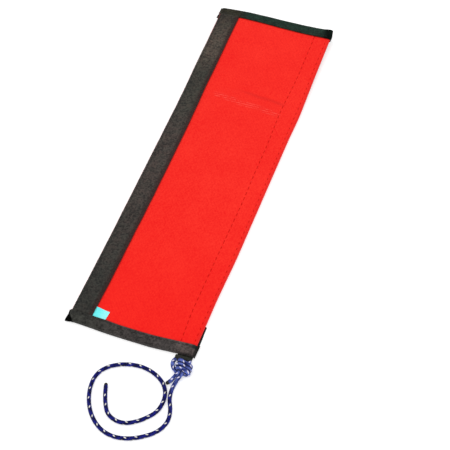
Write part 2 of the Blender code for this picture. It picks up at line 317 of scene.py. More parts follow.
def spaced(a, b, step, extra=()):
    """Even steps from a to b, with extra positions put in."""
    n = max(1, round((b - a) / step))
    pts = [a + (b - a) * k / n for k in range(n + 1)]
    for e in extra:
        if a < e < b:
            near = min(range(len(pts)), key=lambda q: abs(pts[q] - e))
            if 0 < near < len(pts) - 1 and abs(pts[near] - e) < step * 0.30:
                pts[near] = e
            else:
                pts.append(e)
    return sorted(set(round(p, 7) for p in pts))


# ------------------------------------------------------------------ materials
class Nodes:
    """Short names for wiring a material's nodes."""

    def __init__(self, name, colour, roughness, sheen=0.0, sheen_rough=0.5, specular=0.5):
        self.mat = bpy.data.materials.new(name)
        self.mat.use_nodes = True
        self.t = self.mat.node_tree
        self.bsdf = self.t.nodes["Principled BSDF"]
        self.bsdf.inputs["Base Color"].default_value = (*colour, 1)
        self.bsdf.inputs["Roughness"].default_value = roughness
        self.bsdf.inputs["Specular IOR Level"].default_value = specular
        self.bsdf.inputs["Sheen Weight"].default_value = sheen
        self.bsdf.inputs["Sheen Roughness"].default_value = sheen_rough
        self.mat.diffuse_color = (*colour, 1)

    def link(self, a, b):
        self.t.links.new(a, b)

    def put(self, sock, v):
        if hasattr(v, "is_linked") or isinstance(v, bpy.types.NodeSocket):
            self.link(v, sock)
        else:
            sock.default_value = v

    def math(self, op, a, b=None, c=None, clamp=False):
        n = self.t.nodes.new("ShaderNodeMath")
        n.operation = op
        n.use_clamp = clamp
        for s, v in zip(n.inputs, (a, b, c)):
            if v is not None:
                self.put(s, v)
        return n.outputs[0]

    def attr(self, name="rest"):
        n = self.t.nodes.new("ShaderNodeAttribute")
        n.attribute_name = name
        return n

    def split(self, vec):
        n = self.t.nodes.new("ShaderNodeSeparateXYZ")
        self.link(vec, n.inputs[0])
        return n.outputs

    def scale(self, vec, k):
        n = self.t.nodes.new("ShaderNodeVectorMath")
        n.operation = "MULTIPLY"
        self.link(vec, n.inputs[0])
        n.inputs[1].default_value = k if hasattr(k, "__len__") else (k, k, k)
        return n.outputs[0]

    def noise(self, vec, scale, detail=2.0, rough=0.5):
        n = self.t.nodes.new("ShaderNodeTexNoise")
        self.link(vec, n.inputs["Vector"])
        n.inputs["Scale"].default_value = scale
        n.inputs["Detail"].default_value = detail
        n.inputs["Roughness"].default_value = rough
        return n.outputs["Fac"]

    def voronoi(self, vec, scale):
        n = self.t.nodes.new("ShaderNodeTexVoronoi")
        self.link(vec, n.inputs["Vector"])
        n.inputs["Scale"].default_value = scale
        return n.outputs["Distance"]

    def span(self, v, a, b, lo=0.0, hi=1.0):
        n = self.t.nodes.new("ShaderNodeMapRange")
        n.interpolation_type = "SMOOTHSTEP"
        self.put(n.inputs["Value"], v)
        for key, x in (("From Min", a), ("From Max", b), ("To Min", lo), ("To Max", hi)):
            n.inputs[key].default_value = x
        return n.outputs[0]

    def mix(self, fac, a, b, mode="MIX"):
        n = self.t.nodes.new("ShaderNodeMix")
        n.data_type = "RGBA"
        n.blend_type = mode
        self.put(n.inputs["Factor"], fac)
        ca, cb = n.inputs[6], n.inputs[7]
        self.put(ca, (*a, 1) if isinstance(a, tuple) else a)
        self.put(cb, (*b, 1) if isinstance(b, tuple) else b)
        return n.outputs[2]

    def colour(self, sock):
        self.link(sock, self.bsdf.inputs["Base Color"])

    def rough(self, sock):
        self.link(sock, self.bsdf.inputs["Roughness"])

    def bump(self, height, strength, distance):
        n = self.t.nodes.new("ShaderNodeBump")
        n.inputs["Strength"].default_value = strength
        n.inputs["Distance"].default_value = distance
        self.link(height, n.inputs["Height"])
        self.link(n.outputs[0], self.bsdf.inputs["Normal"])


TAU = 2 * math.pi


def hose_material():
    m = Nodes("hose_red", (0.86, 0.015, 0.010), 0.62, specular=0.16)
    pos = m.attr().outputs["Vector"]
    x, y, z = m.split(pos)
    # woven ground under the rubber: a fine twill of warp and weft
    warp = m.math("SINE", m.math("MULTIPLY", x, TAU / 0.0020))
    weft = m.math("SINE", m.math("MULTIPLY", y, TAU / 0.0026))
    twill = m.math("SINE", m.math("ADD", m.math("MULTIPLY", x, TAU / 0.0040),
                                  m.math("MULTIPLY", y, TAU / 0.0052)))
    weave = m.math("ADD", m.math("MULTIPLY", warp, weft), m.math("MULTIPLY", twill, 0.5))
    grain = m.noise(m.scale(pos, (1.0, 0.75, 1.0)), 620.0, 2.0, 0.65)
    cloud = m.noise(pos, 26.0, 3.0, 0.55)
    # colour: broad patches, grain, and the weave's own relief
    tone = m.math("ADD", m.math("MULTIPLY", m.math("SUBTRACT", cloud, 0.5), 0.60),
                  m.math("MULTIPLY", m.math("SUBTRACT", grain, 0.5), 1.9))
    tone = m.math("ADD", tone, m.math("MULTIPLY", weave, 0.11))
    tone = m.math("ADD", tone, 0.5, clamp=True)
    # and it is a little deeper in colour towards the cord's end
    bright = m.mix(m.span(y, -0.25, -0.05), (0.900, 0.0150, 0.0060), (0.930, 0.0265, 0.0130))
    base = m.mix(tone, (0.80, 0.0006, 0.0003), bright)
    # the cross crease has worn: its yarns show pale in two or three broken rows
    ux = m.math("MULTIPLY", m.math("SUBTRACT", x, CREASE_A[0]), CREASE_DIR.x)
    uy = m.math("MULTIPLY", m.math("SUBTRACT", y, CREASE_A[1]), CREASE_DIR.y)
    u = m.math("ADD", ux, uy)
    vx = m.math("MULTIPLY", m.math("SUBTRACT", x, CREASE_A[0]), -CREASE_DIR.y)
    vy = m.math("MULTIPLY", m.math("SUBTRACT", y, CREASE_A[1]), CREASE_DIR.x)
    v = m.math("ADD", vx, vy)
    v = m.math("ADD", v, m.math("MULTIPLY", m.math("SUBTRACT", m.noise(pos, 45.0), 0.5), 0.0040))
    # the pale rows are the weft yarns, which cross the crease at a small angle
    rows = m.span(m.math("SINE", m.math("MULTIPLY", y, TAU / 0.0029)), 0.25, 0.90)
    v0 = m.math("ADD", v, 0.0018)
    face = m.span(z, 0.0036, 0.0046)
    near = m.math("MULTIPLY", m.span(m.math("ABSOLUTE", v0), 0.0026, 0.0050, 1.0, 0.0), face)
    ends = m.math("MULTIPLY", m.span(u, -0.006, 0.004),
                  m.span(u, CREASE_LEN + 0.000, CREASE_LEN + 0.011, 1.0, 0.0))
    yarn = m.math("SINE", m.math("MULTIPLY", x, TAU / 0.0020))
    broken = m.span(m.math("ADD", m.math("MULTIPLY", yarn, 0.13),
                           m.noise(m.scale(pos, (1.0, 1.4, 1.0)), 240.0, 2.0)), 0.38, 0.60)
    worn = m.math("MULTIPLY", m.math("MULTIPLY", rows, near), m.math("MULTIPLY", ends, broken))
    base = m.mix(m.math("MULTIPLY", worn, 0.40), base, (1.0, 0.180, 0.145))
    between = m.math("MULTIPLY", m.math("MULTIPLY", m.math("SUBTRACT", 1.0, rows), near), ends)
    base = m.mix(m.math("MULTIPLY", between, 0.10), base, (0.60, 0.006, 0.004))
    # a soft shade lies in the hollow behind it
    hollow = m.math("MULTIPLY", m.span(m.math("ABSOLUTE", m.math("SUBTRACT", v, 0.0158)),
                                       0.0, 0.0038, 1.0, 0.0),
                    m.math("MULTIPLY", m.span(u, 0.010, 0.048), m.span(u, 0.076, 0.088, 1.0, 0.0)))
    base = m.mix(m.math("MULTIPLY", m.math("MULTIPLY", hollow, face), 0.50), base,
                 (0.64, 0.008, 0.006))
    # shade along the strip and the tapes
    shade = m.attr("shade").outputs["Fac"]
    base = m.mix(m.math("MULTIPLY", shade, 0.80), base, (0.16, 0.004, 0.003))
    # painted shade on both side folds, where the hose turns down
    side = m.span(m.math("ABSOLUTE", x), 0.0690, 0.0722)
    base = m.mix(m.math("MULTIPLY", side, 0.45), base, (0.55, 0.010, 0.010))
    # and the far left one, beside the strip, is darker maroon towards the far end
    dark_left_fold = m.math("MULTIPLY", m.span(x, -0.0712, -0.0702, 1.0, 0.0), m.span(y, 0.12, 0.19))
    base = m.mix(m.math("MULTIPLY", dark_left_fold, 0.90), base, (0.085, 0.010, 0.014))
    m.colour(base)
    m.rough(m.math("ADD", m.math("MULTIPLY", grain, 0.16), 0.52))
    relief = m.math("ADD", m.math("MULTIPLY", weave, 0.5), m.math("MULTIPLY", grain, 0.8))
    m.bump(relief, 0.30, 0.00012)
    return m.mat


def pile_material(name, dark, light, warm, cool, fine=1500.0):
    m = Nodes(name, light, 0.95, sheen=0.10, sheen_rough=0.6, specular=0.15)
    pos = m.attr().outputs["Vector"]
    fuzz = m.noise(pos, fine, 3.0, 0.7)
    tuft = m.noise(pos, 420.0, 2.0, 0.6)
    patch = m.noise(pos, 95.0, 3.0, 0.6)
    hue = m.noise(m.scale(pos, (1.0, 1.0, 3.0)), 140.0, 2.0, 0.5)
    tone = m.math("ADD", m.math("MULTIPLY", m.math("SUBTRACT", fuzz, 0.5), 1.3),
                  m.math("MULTIPLY", m.math("SUBTRACT", tuft, 0.5), 3.2))
    tone = m.math("ADD", tone, m.math("MULTIPLY", m.math("SUBTRACT", patch, 0.5), 1.4))
    tone = m.math("ADD", tone, 0.55, clamp=True)
    base = m.mix(tone, dark, light)
    tint = m.mix(m.span(hue, 0.40, 0.60), warm, cool)
    base = m.mix(0.45, base, tint, "MULTIPLY")
    x, y, _ = m.split(pos)
    # lighter and warmer along its length
    base = m.mix(1.0, base, m.mix(m.span(y, -0.23, -0.02), (0.43, 0.43, 0.42), (0.86, 0.68, 0.68)),
                 "MULTIPLY")
    base = m.mix(m.span(y, 0.02, 0.11), base, m.mix(1.0, base, (0.70, 0.84, 0.76), "MULTIPLY"))
    base = m.mix(m.span(y, 0.135, 0.175), base, m.mix(1.0, base, (2.00, 1.62, 1.62), "MULTIPLY"))
    base = m.mix(m.span(y, 0.195, 0.236), base, m.mix(1.0, base, (0.50, 0.54, 0.50), "MULTIPLY"))
    # towards its inner edge it lies in its own shade and takes on some of the hose's red
    rim = m.math("MULTIPLY", m.attr("inner").outputs["Fac"], m.span(y, 0.10, 0.20, 0.76, 0.88))
    base = m.mix(rim, base, (0.028, 0.005, 0.004))
    m.colour(base)
    m.bump(m.math("ADD", fuzz, m.math("MULTIPLY", tuft, 1.3)), 0.75, 0.00035)
    return m.mat


def tape_material():
    """Brushed binding tape: a fine diagonal rib under short nap."""
    m = Nodes("tape_black", (0.035, 0.036, 0.033), 0.92, sheen=0.04, sheen_rough=0.6,
              specular=0.10)
    pos = m.attr().outputs["Vector"]
    x, y, z = m.split(pos)
    run = m.math("ADD", y, m.math("MULTIPLY", z, 1.0))
    rib = m.math("SINE", m.math("ADD", m.math("MULTIPLY", x, TAU / 0.0011),
                                m.math("MULTIPLY", run, TAU / 0.0016)))
    nap = m.noise(pos, 1700.0, 3.0, 0.7)
    patch = m.noise(pos, 120.0, 3.0, 0.6)
    tone = m.math("ADD", m.math("MULTIPLY", m.math("SUBTRACT", nap, 0.5), 1.3),
                  m.math("MULTIPLY", m.math("SUBTRACT", patch, 0.5), 1.5))
    tone = m.math("ADD", tone, m.math("MULTIPLY", m.math("SUBTRACT", m.noise(pos, 480.0), 0.5), 1.4))
    tone = m.math("ADD", tone, m.math("MULTIPLY", rib, 0.12))
    tone = m.math("ADD", tone, 0.5, clamp=True)
    near = m.mix(m.span(x, -0.06, 0.0), m.mix(tone, (0.008, 0.008, 0.007), (0.054, 0.054, 0.046)),
                 m.mix(tone, (0.012, 0.011, 0.010), (0.076, 0.065, 0.062)))
    # painted highlight: the near tape is lighter towards its right end
    near = m.mix(m.span(x, 0.044, 0.060), near, m.mix(tone, (0.030, 0.023, 0.021),
                                                      (0.116, 0.089, 0.083)))
    far = m.mix(m.span(x, -0.052, -0.034), m.mix(tone, (0.006, 0.005, 0.002), (0.040, 0.038, 0.024)),
                m.mix(tone, (0.002, 0.010, 0.006), (0.016, 0.043, 0.029)))
    # at the left it fades into the strip that it is folded over
    over = m.math("MULTIPLY", m.span(x, -0.052, -0.046, 1.0, 0.0),
                  m.span(m.math("ABSOLUTE", y), 0.2380, 0.2470, 1.0, 0.0))
    far = m.mix(over, far, m.mix(tone, (0.010, 0.009, 0.005), (0.048, 0.044, 0.030)))
    base = m.mix(m.span(y, -0.05, 0.20), near, far)
    # the near left tip is turned under, and painted nearly black as shade
    corner = m.math("ADD", m.math("MULTIPLY", m.math("ADD", x, 0.0748), 1 / 0.0080),
                    m.math("MULTIPLY", m.math("ADD", y, 0.2500), 1 / 0.0090))
    tip = m.math("MULTIPLY", m.span(corner, 0.85, 1.15, 0.96, 0.0), m.span(y, -0.1, 0.0, 1.0, 0.0))
    base = m.mix(tip, base, (0.0006, 0.0006, 0.0006))
    dark = m.math("MULTIPLY", m.span(x, 0.0585, 0.0670), m.span(y, 0.0, 0.1))
    plain = m.math("MULTIPLY", m.math("SUBTRACT", 1.0, tip),
                   m.math("SUBTRACT", 1.0, m.math("MULTIPLY", dark, 0.7)))
    m.put(m.bsdf.inputs["Specular IOR Level"], m.math("MULTIPLY", plain, 0.10))
    m.put(m.bsdf.inputs["Sheen Weight"], m.math("MULTIPLY", plain, 0.04))
    # the near right end is green-black where the two legs meet, the far right one darker
    teal = m.math("MULTIPLY", m.span(x, 0.0665, 0.0700), m.span(m.math("ABSOLUTE", y), 0.2415, 0.2440, 1.0, 0.0))
    base = m.mix(m.math("MULTIPLY", teal, 0.85), base, (0.001, 0.012, 0.011))
    # painted shade on the tape's right side, where it turns down round the hose's edge
    right = m.span(x, 0.0718, 0.0728)
    base = m.mix(m.math("MULTIPLY", right, 0.75), base, (0.004, 0.005, 0.004))
    base = m.mix(m.math("MULTIPLY", dark, 0.82), base, (0.0012, 0.0020, 0.0014))
    # the far left one shows a little of the hose's red
    spot = m.math("MULTIPLY", m.span(x, -0.0738, -0.0730, 1.0, 0.0), m.span(y, 0.2400, 0.2412))
    spot = m.math("MULTIPLY", spot, m.span(y, 0.2422, 0.2434, 1.0, 0.0))
    base = m.mix(spot, base, (0.20, 0.006, 0.012))
    m.colour(base)
    m.bump(m.math("ADD", nap, m.math("MULTIPLY", rib, 0.35)), 0.6, 0.00025)
    return m.mat


def webbing_material():
    m = Nodes("tab_webbing", (0.026, 0.028, 0.022), 0.80, specular=0.25)
    pos = m.attr().outputs["Vector"]
    x, y, z = m.split(pos)
    rib = m.math("SINE", m.math("MULTIPLY", x, TAU / 0.0013))
    over = m.math("SINE", m.math("MULTIPLY", m.math("ADD", y, z), TAU / 0.0011))
    weave = m.math("MULTIPLY", rib, over)
    grain = m.noise(pos, 1500.0, 2.0)
    tone = m.math("ADD", m.math("MULTIPLY", weave, 0.25),
                  m.math("MULTIPLY", grain, 0.7), clamp=True)
    m.colour(m.mix(tone, (0.007, 0.008, 0.006), (0.040, 0.043, 0.032)))
    m.bump(m.math("ADD", weave, grain), 0.7, 0.0002)
    return m.mat


def thread_material(name, a, b, rough=0.6, specular=0.35, hole_shade_strength=0.8):
    """Twisted thread; 'rest' carries the distance along it in X and nearness to its end in Z."""
    m = Nodes(name, b, rough, specular=specular)
    pos = m.attr().outputs["Vector"]
    x, y, z = m.split(pos)
    ply = m.math("SINE", m.math("MULTIPLY", m.math("ADD", x, y), TAU / 0.0006))
    grain = m.noise(pos, 2500.0, 1.0)
    tone = m.math("ADD", m.math("MULTIPLY", ply, 0.25), grain, clamp=True)
    # painted shade at each end of the stitch, where the thread dives into its needle hole
    needle_hole_shade = m.span(z, 0.00055, 0.00095)
    m.colour(m.mix(m.math("MULTIPLY", needle_hole_shade, hole_shade_strength), m.mix(tone, a, b), tuple(0.15 * c for c in a)))
    m.bump(ply, 0.5, 0.00008)
    return m.mat


def label_material():
    m = Nodes("label_cyan", (0.19, 0.86, 0.93), 0.50, specular=0.35)
    pos = m.attr().outputs["Vector"]
    x, y, _ = m.split(pos)
    rib = m.math("SINE", m.math("MULTIPLY", y, TAU / 0.0005))
    warp = m.math("SINE", m.math("MULTIPLY", x, TAU / 0.0007))
    grain = m.noise(pos, 900.0, 2.0)
    tone = m.math("ADD", m.math("MULTIPLY", grain, 0.7),
                  m.math("MULTIPLY", m.math("MULTIPLY", rib, warp), 0.15), clamp=True)
    base = m.mix(tone, (0.09, 0.79, 0.80), (0.22, 0.95, 0.94))
    pale = m.span(m.math("ADD", x, m.math("MULTIPLY", m.noise(pos, 300.0), 0.002)),
                  -0.0430, -0.0345)
    base = m.mix(m.math("MULTIPLY", pale, 0.40), base, (0.50, 0.95, 0.97))
    m.colour(base)
    m.bump(m.math("ADD", rib, grain), 0.35, 0.00008)
    return m.mat


def cord_material(name, deep, mid, worn_deep, worn_mid, fleck):
    """Braided cover: 'rest' holds distance round and distance along, 'braid' the strand's height.

    Where it has been handled and tied, round the knot, the dye has faded ('worn')."""
    m = Nodes(name, mid, 0.66, sheen=0.03, specular=0.12)
    worn = m.attr("worn").outputs["Fac"]
    lay = m.attr("braid")
    height = lay.outputs["Fac"]
    pale = m.attr("fleck").outputs["Fac"]
    pos = m.attr().outputs["Vector"]
    fibre = m.noise(m.scale(pos, (1.0, 0.35, 1.0)), 3200.0, 2.0, 0.6)
    tone = m.math("ADD", m.math("MULTIPLY", height, 0.75),
                  m.math("MULTIPLY", m.math("SUBTRACT", fibre, 0.5), 0.9))
    tone = m.math("ADD", tone, m.math("MULTIPLY", m.math("SUBTRACT", m.noise(pos, 210.0), 0.5), 1.6))
    round_by, along, _ = m.split(pos)
    beat = m.math("SINE", m.math("ADD", m.math("MULTIPLY", along, TAU / 0.0114),
                                 m.math("MULTIPLY", round_by, TAU / 0.0063)))
    tone = m.math("ADD", tone, m.math("MULTIPLY", beat, 0.30), clamp=True)
    base = m.mix(worn, m.mix(tone, deep, mid), m.mix(tone, worn_deep, worn_mid))
    # the tracer yarns are creamy, greyer at their rims
    tracer = m.mix(m.span(pale, 0.35, 0.95), tuple(0.42 * c for c in fleck), fleck)
    tracer = m.mix(worn, tracer, (0.72, 0.69, 0.82))
    base = m.mix(m.span(pale, 0.28, 0.50), base, tracer)
    # where turns press on each other the cover is in deep shade
    crevice = m.attr("crevice").outputs["Fac"]
    base = m.mix(m.math("MULTIPLY", crevice, 0.94), base, tuple(0.14 * c for c in worn_deep))
    m.colour(base)
    m.bump(m.math("ADD", fibre, m.math("MULTIPLY", height, 0.6)), 0.5, 0.00012)
    return m.mat


def tip_material():
    m = Nodes("cord_tip", (0.012, 0.012, 0.013), 0.45, specular=0.22)
    pos = m.attr().outputs["Vector"]
    lump = m.noise(pos, 700.0, 2.0)
    m.colour(m.mix(lump, (0.003, 0.003, 0.004), (0.014, 0.012, 0.011)))
    m.rough(m.math("ADD", m.math("MULTIPLY", lump, 0.3), 0.34))
    m.bump(lump, 0.5, 0.0002)
    return m.mat


def hook_material():
    m = Nodes("hook_black", (0.018, 0.018, 0.018), 0.55, specular=0.20)
    pos = m.attr().outputs["Vector"]
    grain = m.noise(pos, 1400.0, 2.0)
    m.colour(m.mix(grain, (0.0020, 0.0018, 0.0018), (0.0120, 0.0110, 0.0105)))
    m.rough(m.math("ADD", m.math("MULTIPLY", grain, 0.3), 0.45))
    m.bump(grain, 0.4, 0.00015)
    return m.mat


RED = hose_material()
PILE = pile_material("loop_black", (0.018, 0.018, 0.016), (0.078, 0.074, 0.064),
                     (1.0, 0.90, 0.82), (0.84, 1.0, 0.90))
TAPE = tape_material()
WEB = webbing_material()
HOOK = hook_material()
THREAD = thread_material("thread_black", (0.006, 0.006, 0.006), (0.030, 0.030, 0.028))
SEAM_RED = thread_material("thread_red", (0.42, 0.0012, 0.0006), (0.68, 0.0035, 0.0018), 0.85,
                           specular=0.06, hole_shade_strength=0.6)
CYAN = label_material()
BLUE = cord_material("cord_blue_braid", (0.0008, 0.0010, 0.024), (0.0075, 0.0110, 0.260),
                     (0.010, 0.016, 0.120), (0.152, 0.208, 0.640), (0.78, 0.76, 0.70))
TIP = tip_material()

# ------------------------------------------------------------------ hose
R_OUT = (HOSE_Z1 - HOSE_Z0) / 2
MID_Z = (HOSE_Z0 + HOSE_Z1) / 2
xl, xr = -HALF_W + R_OUT, HALF_W - R_OUT
marks = [q * MM for q in list(np.arange(49.2, 54.2, 0.45)) + list(np.arange(66.2, 69.9, 0.45))
         + list(np.arange(-49.2, -44.0, 0.6))]
cols = [x for x in spaced(xl, xr, 0.0016, list(CUTS))
        if x in [round(c, 7) for c in CUTS] or min(abs(x - q) for q in marks) > 0.0003]
cols = sorted(set(cols + [round(q, 7) for q in marks]))
low_cols = spaced(xl, xr, 0.0032, list(CUTS))
ys = spaced(-HOSE_END, HOSE_END, HOOK_PITCH / 4)
ys = sorted(set(ys + [round(e * q * MM, 7) for e in (-1, 1) for q in np.arange(233.2, 239.6, 0.7)]))

section = [(x, HOSE_Z1, "top") for x in cols]
section += [(xr + R_OUT * math.sin(math.radians(a)), MID_Z + R_OUT * math.cos(math.radians(a)), "fold")
            for a in range(18, 180, 18)]
section += [(x, HOSE_Z0, "low") for x in reversed(low_cols)]
section += [(xl - R_OUT * math.sin(math.radians(a)), MID_Z - R_OUT * math.cos(math.radians(a)), "fold")
            for a in range(18, 180, 18)]


def hose_point(x, z, y):
    up = (z - HOSE_Z0) / (HOSE_Z1 - HOSE_Z0)
    dz = lift(x, y) + wave(x, y) * up
    if up > 0.99:
        dz -= hook_dent(x, y)
    return (x, y, z + dz)


hose_rest = [[hose_point(x, z, y) for y in ys] for x, z, _ in section]
hose_grid = sewn_grid(hose_rest)
hose_n = loop_normals(hose_grid)
# outward check: the first top point's normal has to look up
if hose_n[len(cols) // 2][len(ys) // 2][2] < 0:
    hose_n = -hose_n


def tape_edge(x, end):
    """The tape's inner edge on the face: cut and sewn by hand, so it wanders a little."""
    w = 0.00025 * n3(x * 45, end * 3.0, 1.7) + 0.00012 * n3(x * 150, end * 9.0, 4.1)
    if end < 0:
        return 0.2380 - 0.0006 * bump(x + 0.033, 0.010) + w
    return 0.2374 - 0.0017 * x / HALF_W + 0.0016 * smooth((-0.0712 - x) / 0.0016) + w


_loop_at = {}


def loop_left(y):
    inset = 0.0017 * smooth((y - 0.1700) / 0.045)
    return LOOP_X0 + inset + 0.00020 * n3(y * 60, 2.2) + 0.00012 * n3(y * 300, 8.2)


def loop_right(y):
    key = round(y, 5)
    if key not in _loop_at:
        _loop_at[key] = (LOOP_EDGE(y) - side_shift(-0.047, y) + 0.00018 * n3(y * 60, 6.2)
                         + 0.00012 * n3(y * 300, 1.2))
    return _loop_at[key]


def seam_painted_shade(x, y, z):
    """Painted shade on the hose along whatever is sewn over it."""
    if z < HOSE_Z1 - 0.001 + lift(x, y):
        return 0.0
    d = 0.0
    e = tape_edge(x, -1 if y < 0 else 1)
    d = max(d, smooth(1 - (e - abs(y)) / 0.0017))
    d = max(d, smooth(1 - (x - loop_right(y)) / 0.0016))
    return d


top_index = {round(x, 7): i for i, x in enumerate(cols)}
low_start = len(cols) + 9
low_index = {round(x, 7): low_start + (len(low_cols) - 1 - i) for i, x in enumerate(low_cols)}
total = len(section)
hose_nodes = {0: ["hose_fold_loop_side"], 5: ["hose_fold_hook_side"]}
for k in range(6):
    a = top_index[round(CUTS[k - 1], 7)] if k else 0
    b = top_index[round(CUTS[k], 7)] if k < 5 else len(cols) - 1
    c = low_index[round(CUTS[k], 7)] if k < 5 else low_start
    d = low_index[round(CUTS[k - 1], 7)] if k else low_start + len(low_cols) - 1
    keep = list(range(a, b + 1))
    if k == 5:
        keep += list(range(len(cols), low_start))
    keep += list(range(c, d + 1))
    if k == 0:
        keep += list(range(low_start + len(low_cols), total))
    ob = skin(hose_grid, hose_n, keep, "hose_part_%d" % (k + 1), [RED], rest=hose_rest)
    shade = [seam_painted_shade(*tuple(v.vector)) for v in ob.data.attributes["rest"].data]
    ob.data.attributes.new("shade", "FLOAT", "POINT").data.foreach_set("value", shade)
    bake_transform(ob)
    names = list(hose_nodes.get(k, []))
    if k < 5:
        names += ["hose_face_wall_%d" % (k + 1), "hose_back_wall_%d" % (k + 1)]
    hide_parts(*names)


# ------------------------------------------------------------------ stitches
def stitch(verts, faces, rest, a, b, up, radius=0.00030, rise=0.00028, sink=0.00035, run=0.0):
    """One stitch from a to b: it comes out of its needle hole, lies on the cloth and dives."""
    a, b, up = Vector(a), Vector(b), Vector(up)
    t = (b - a).normalized()
    side = t.cross(up).normalized()
    n, sides = 7, 6
    base = len(verts)
    for i in range(n):
        f = i / (n - 1)
        h = rise - (rise + sink) * abs(2 * f - 1) ** 3
        c = a.lerp(b, f) + up * h
        r = radius * (0.75 + 0.25 * math.sin(math.pi * f))
        for q in range(sides):
            ang = TAU * q / sides
            p = c + side * (r * math.cos(ang)) + up * (r * math.sin(ang))
            verts.append(sewn(p))
            rest.append((run + (b - a).length * f, r * ang, abs(2 * f - 1) * 0.001))
    for i in range(n - 1):
        for q in range(sides):
            p = (q + 1) % sides
            faces.append([base + i * sides + q, base + i * sides + p,
                          base + (i + 1) * sides + p, base + (i + 1) * sides + q])
    faces.append([base + q for q in range(sides)][::-1])
    faces.append([base + (n - 1) * sides + q for q in range(sides)])


def row_along_y(name, line, y0, y1, pitch, mat, gap, surface, seed=0, under=None, **kw):
    verts, faces, rest = [], [], []
    n = int((y1 - y0) / pitch)
    for i in range(n):
        a = y0 + i * pitch + gap / 2
        b = a + pitch - gap
        wob = (rand(i, seed) - 0.5) * 0.0003
        xa, xb = line(a) + wob, line(b) - wob
        stitch(verts, faces, rest, (xa, a, surface(xa, a)), (xb, b, surface(xb, b)), (0, 0, 1),
               run=i * 0.01, **kw)
        if max(abs(a), abs(b)) < 0.2344:
            # the thread shows again on the underside, between the same needle holes
            stitch(verts, faces, rest, (xa, a, under(xa, a)), (xb, b, under(xb, b)), (0, 0, -1),
                   radius=0.00024, rise=0.00014, run=i * 0.01)
    return new_object(name, verts, faces, [mat], rest=rest)


# ------------------------------------------------------------------ end tapes
def under_free(x, end):
    """1 where the tape's underside is bare, 0 over the cord tab's stem."""
    return 1.0 if end > 0 else smooth(abs(x - 0.0626) / 0.0010 - 9.4)


def tape_section(x, end):
    """Outline of the folded tape at x, as (y, z) going round it, in a fixed number of points."""
    e = tape_edge(x, end)
    out = []
    over = abs(x) - HALF_W
    pinch = smooth((over + 0.0022) / 0.0034)          # past the hose the two legs close up
    wob = 0.00020 * n3(x * 70, 5.0, end * 2.0)
    y1 = HALF_L + wob + 0.0003
    if end > 0:
        y1 += 0.0011 * smooth((x - 0.0600) / 0.0095)      # the fold is fuller at this corner
    t = TAPE_T
    seam = e + 0.0027

    def leg(y, z, upper):
        mid = MID_Z
        yw = end * y
        if upper:
            g = 0.00030 * bump(y - seam, 0.0008)
            zz = z + wave(x, yw) - g
        else:
            zz = z + 0.00034 * bump(y - seam, 0.0008) * under_free(x, end) * (z == 0.0)
        zz = zz + (mid + (t * 0.55 if upper else -t * 0.55) - zz) * pinch * 0.80
        return zz + lift(x, yw)

    top = [e, e + 0.0006, e + 0.0012, e + 0.0018, e + 0.0022, seam, seam + 0.0005,
           seam + 0.0010, seam + 0.0018, seam + 0.0032, seam + 0.0050, seam + 0.0068]
    top = [y for y in top if y < y1 - 0.0026]
    while len(top) < 12:
        top.append(top[-1] + (y1 - 0.0024 - top[-1]) * 0.4)
    # upper leg, outside, from its inner edge to the fold
    out.append((e, leg(e, TOP_Z0 + 0.0001, True)))
    out.append((e - 0.0001, leg(e, TOP_Z0 + 0.0006, True)))
    for i, y in enumerate(top):
        fall = 0.0003 if i == 0 else 0.0
        out.append((y, leg(y, TOP_Z1 - fall, True)))
    # round the end of the hose
    for a in range(80, -91, -20):
        s, c = math.sin(math.radians(a)), math.cos(math.radians(a))
        zc = 0.0024 if a < 0 else TOP_Z1 - 0.0024
        yy = y1 - 0.0024 + 0.0024 * c
        zz = zc + 0.0024 * s
        out.append((yy, leg(yy, zz, a > 0)))
    # lower leg, outside
    for y in (0.2440, seam + 0.0014, seam + 0.0007, seam, seam - 0.0007, seam - 0.0014, 0.2362,
              0.2352):
        out.append((y, leg(y, 0.0, False)))
    out.append((0.2350, leg(0.2350, 0.0006, False)))
    out.append((0.2352, leg(0.2352, t, False)))
    # inside, back to the start
    for y in (0.2400, 0.2450, 0.2486):
        out.append((y, leg(y, t, False)))
    out.append((y1 - t, leg(y1 - t, t + 0.0004, False)))
    out.append((y1 - t, leg(y1 - t, TOP_Z0 - 0.0004, True)))
    for y in (0.2486, 0.2440, 0.2410):
        out.append((y, leg(y, TOP_Z0, True)))
    return [(end * y, z) for y, z in out]


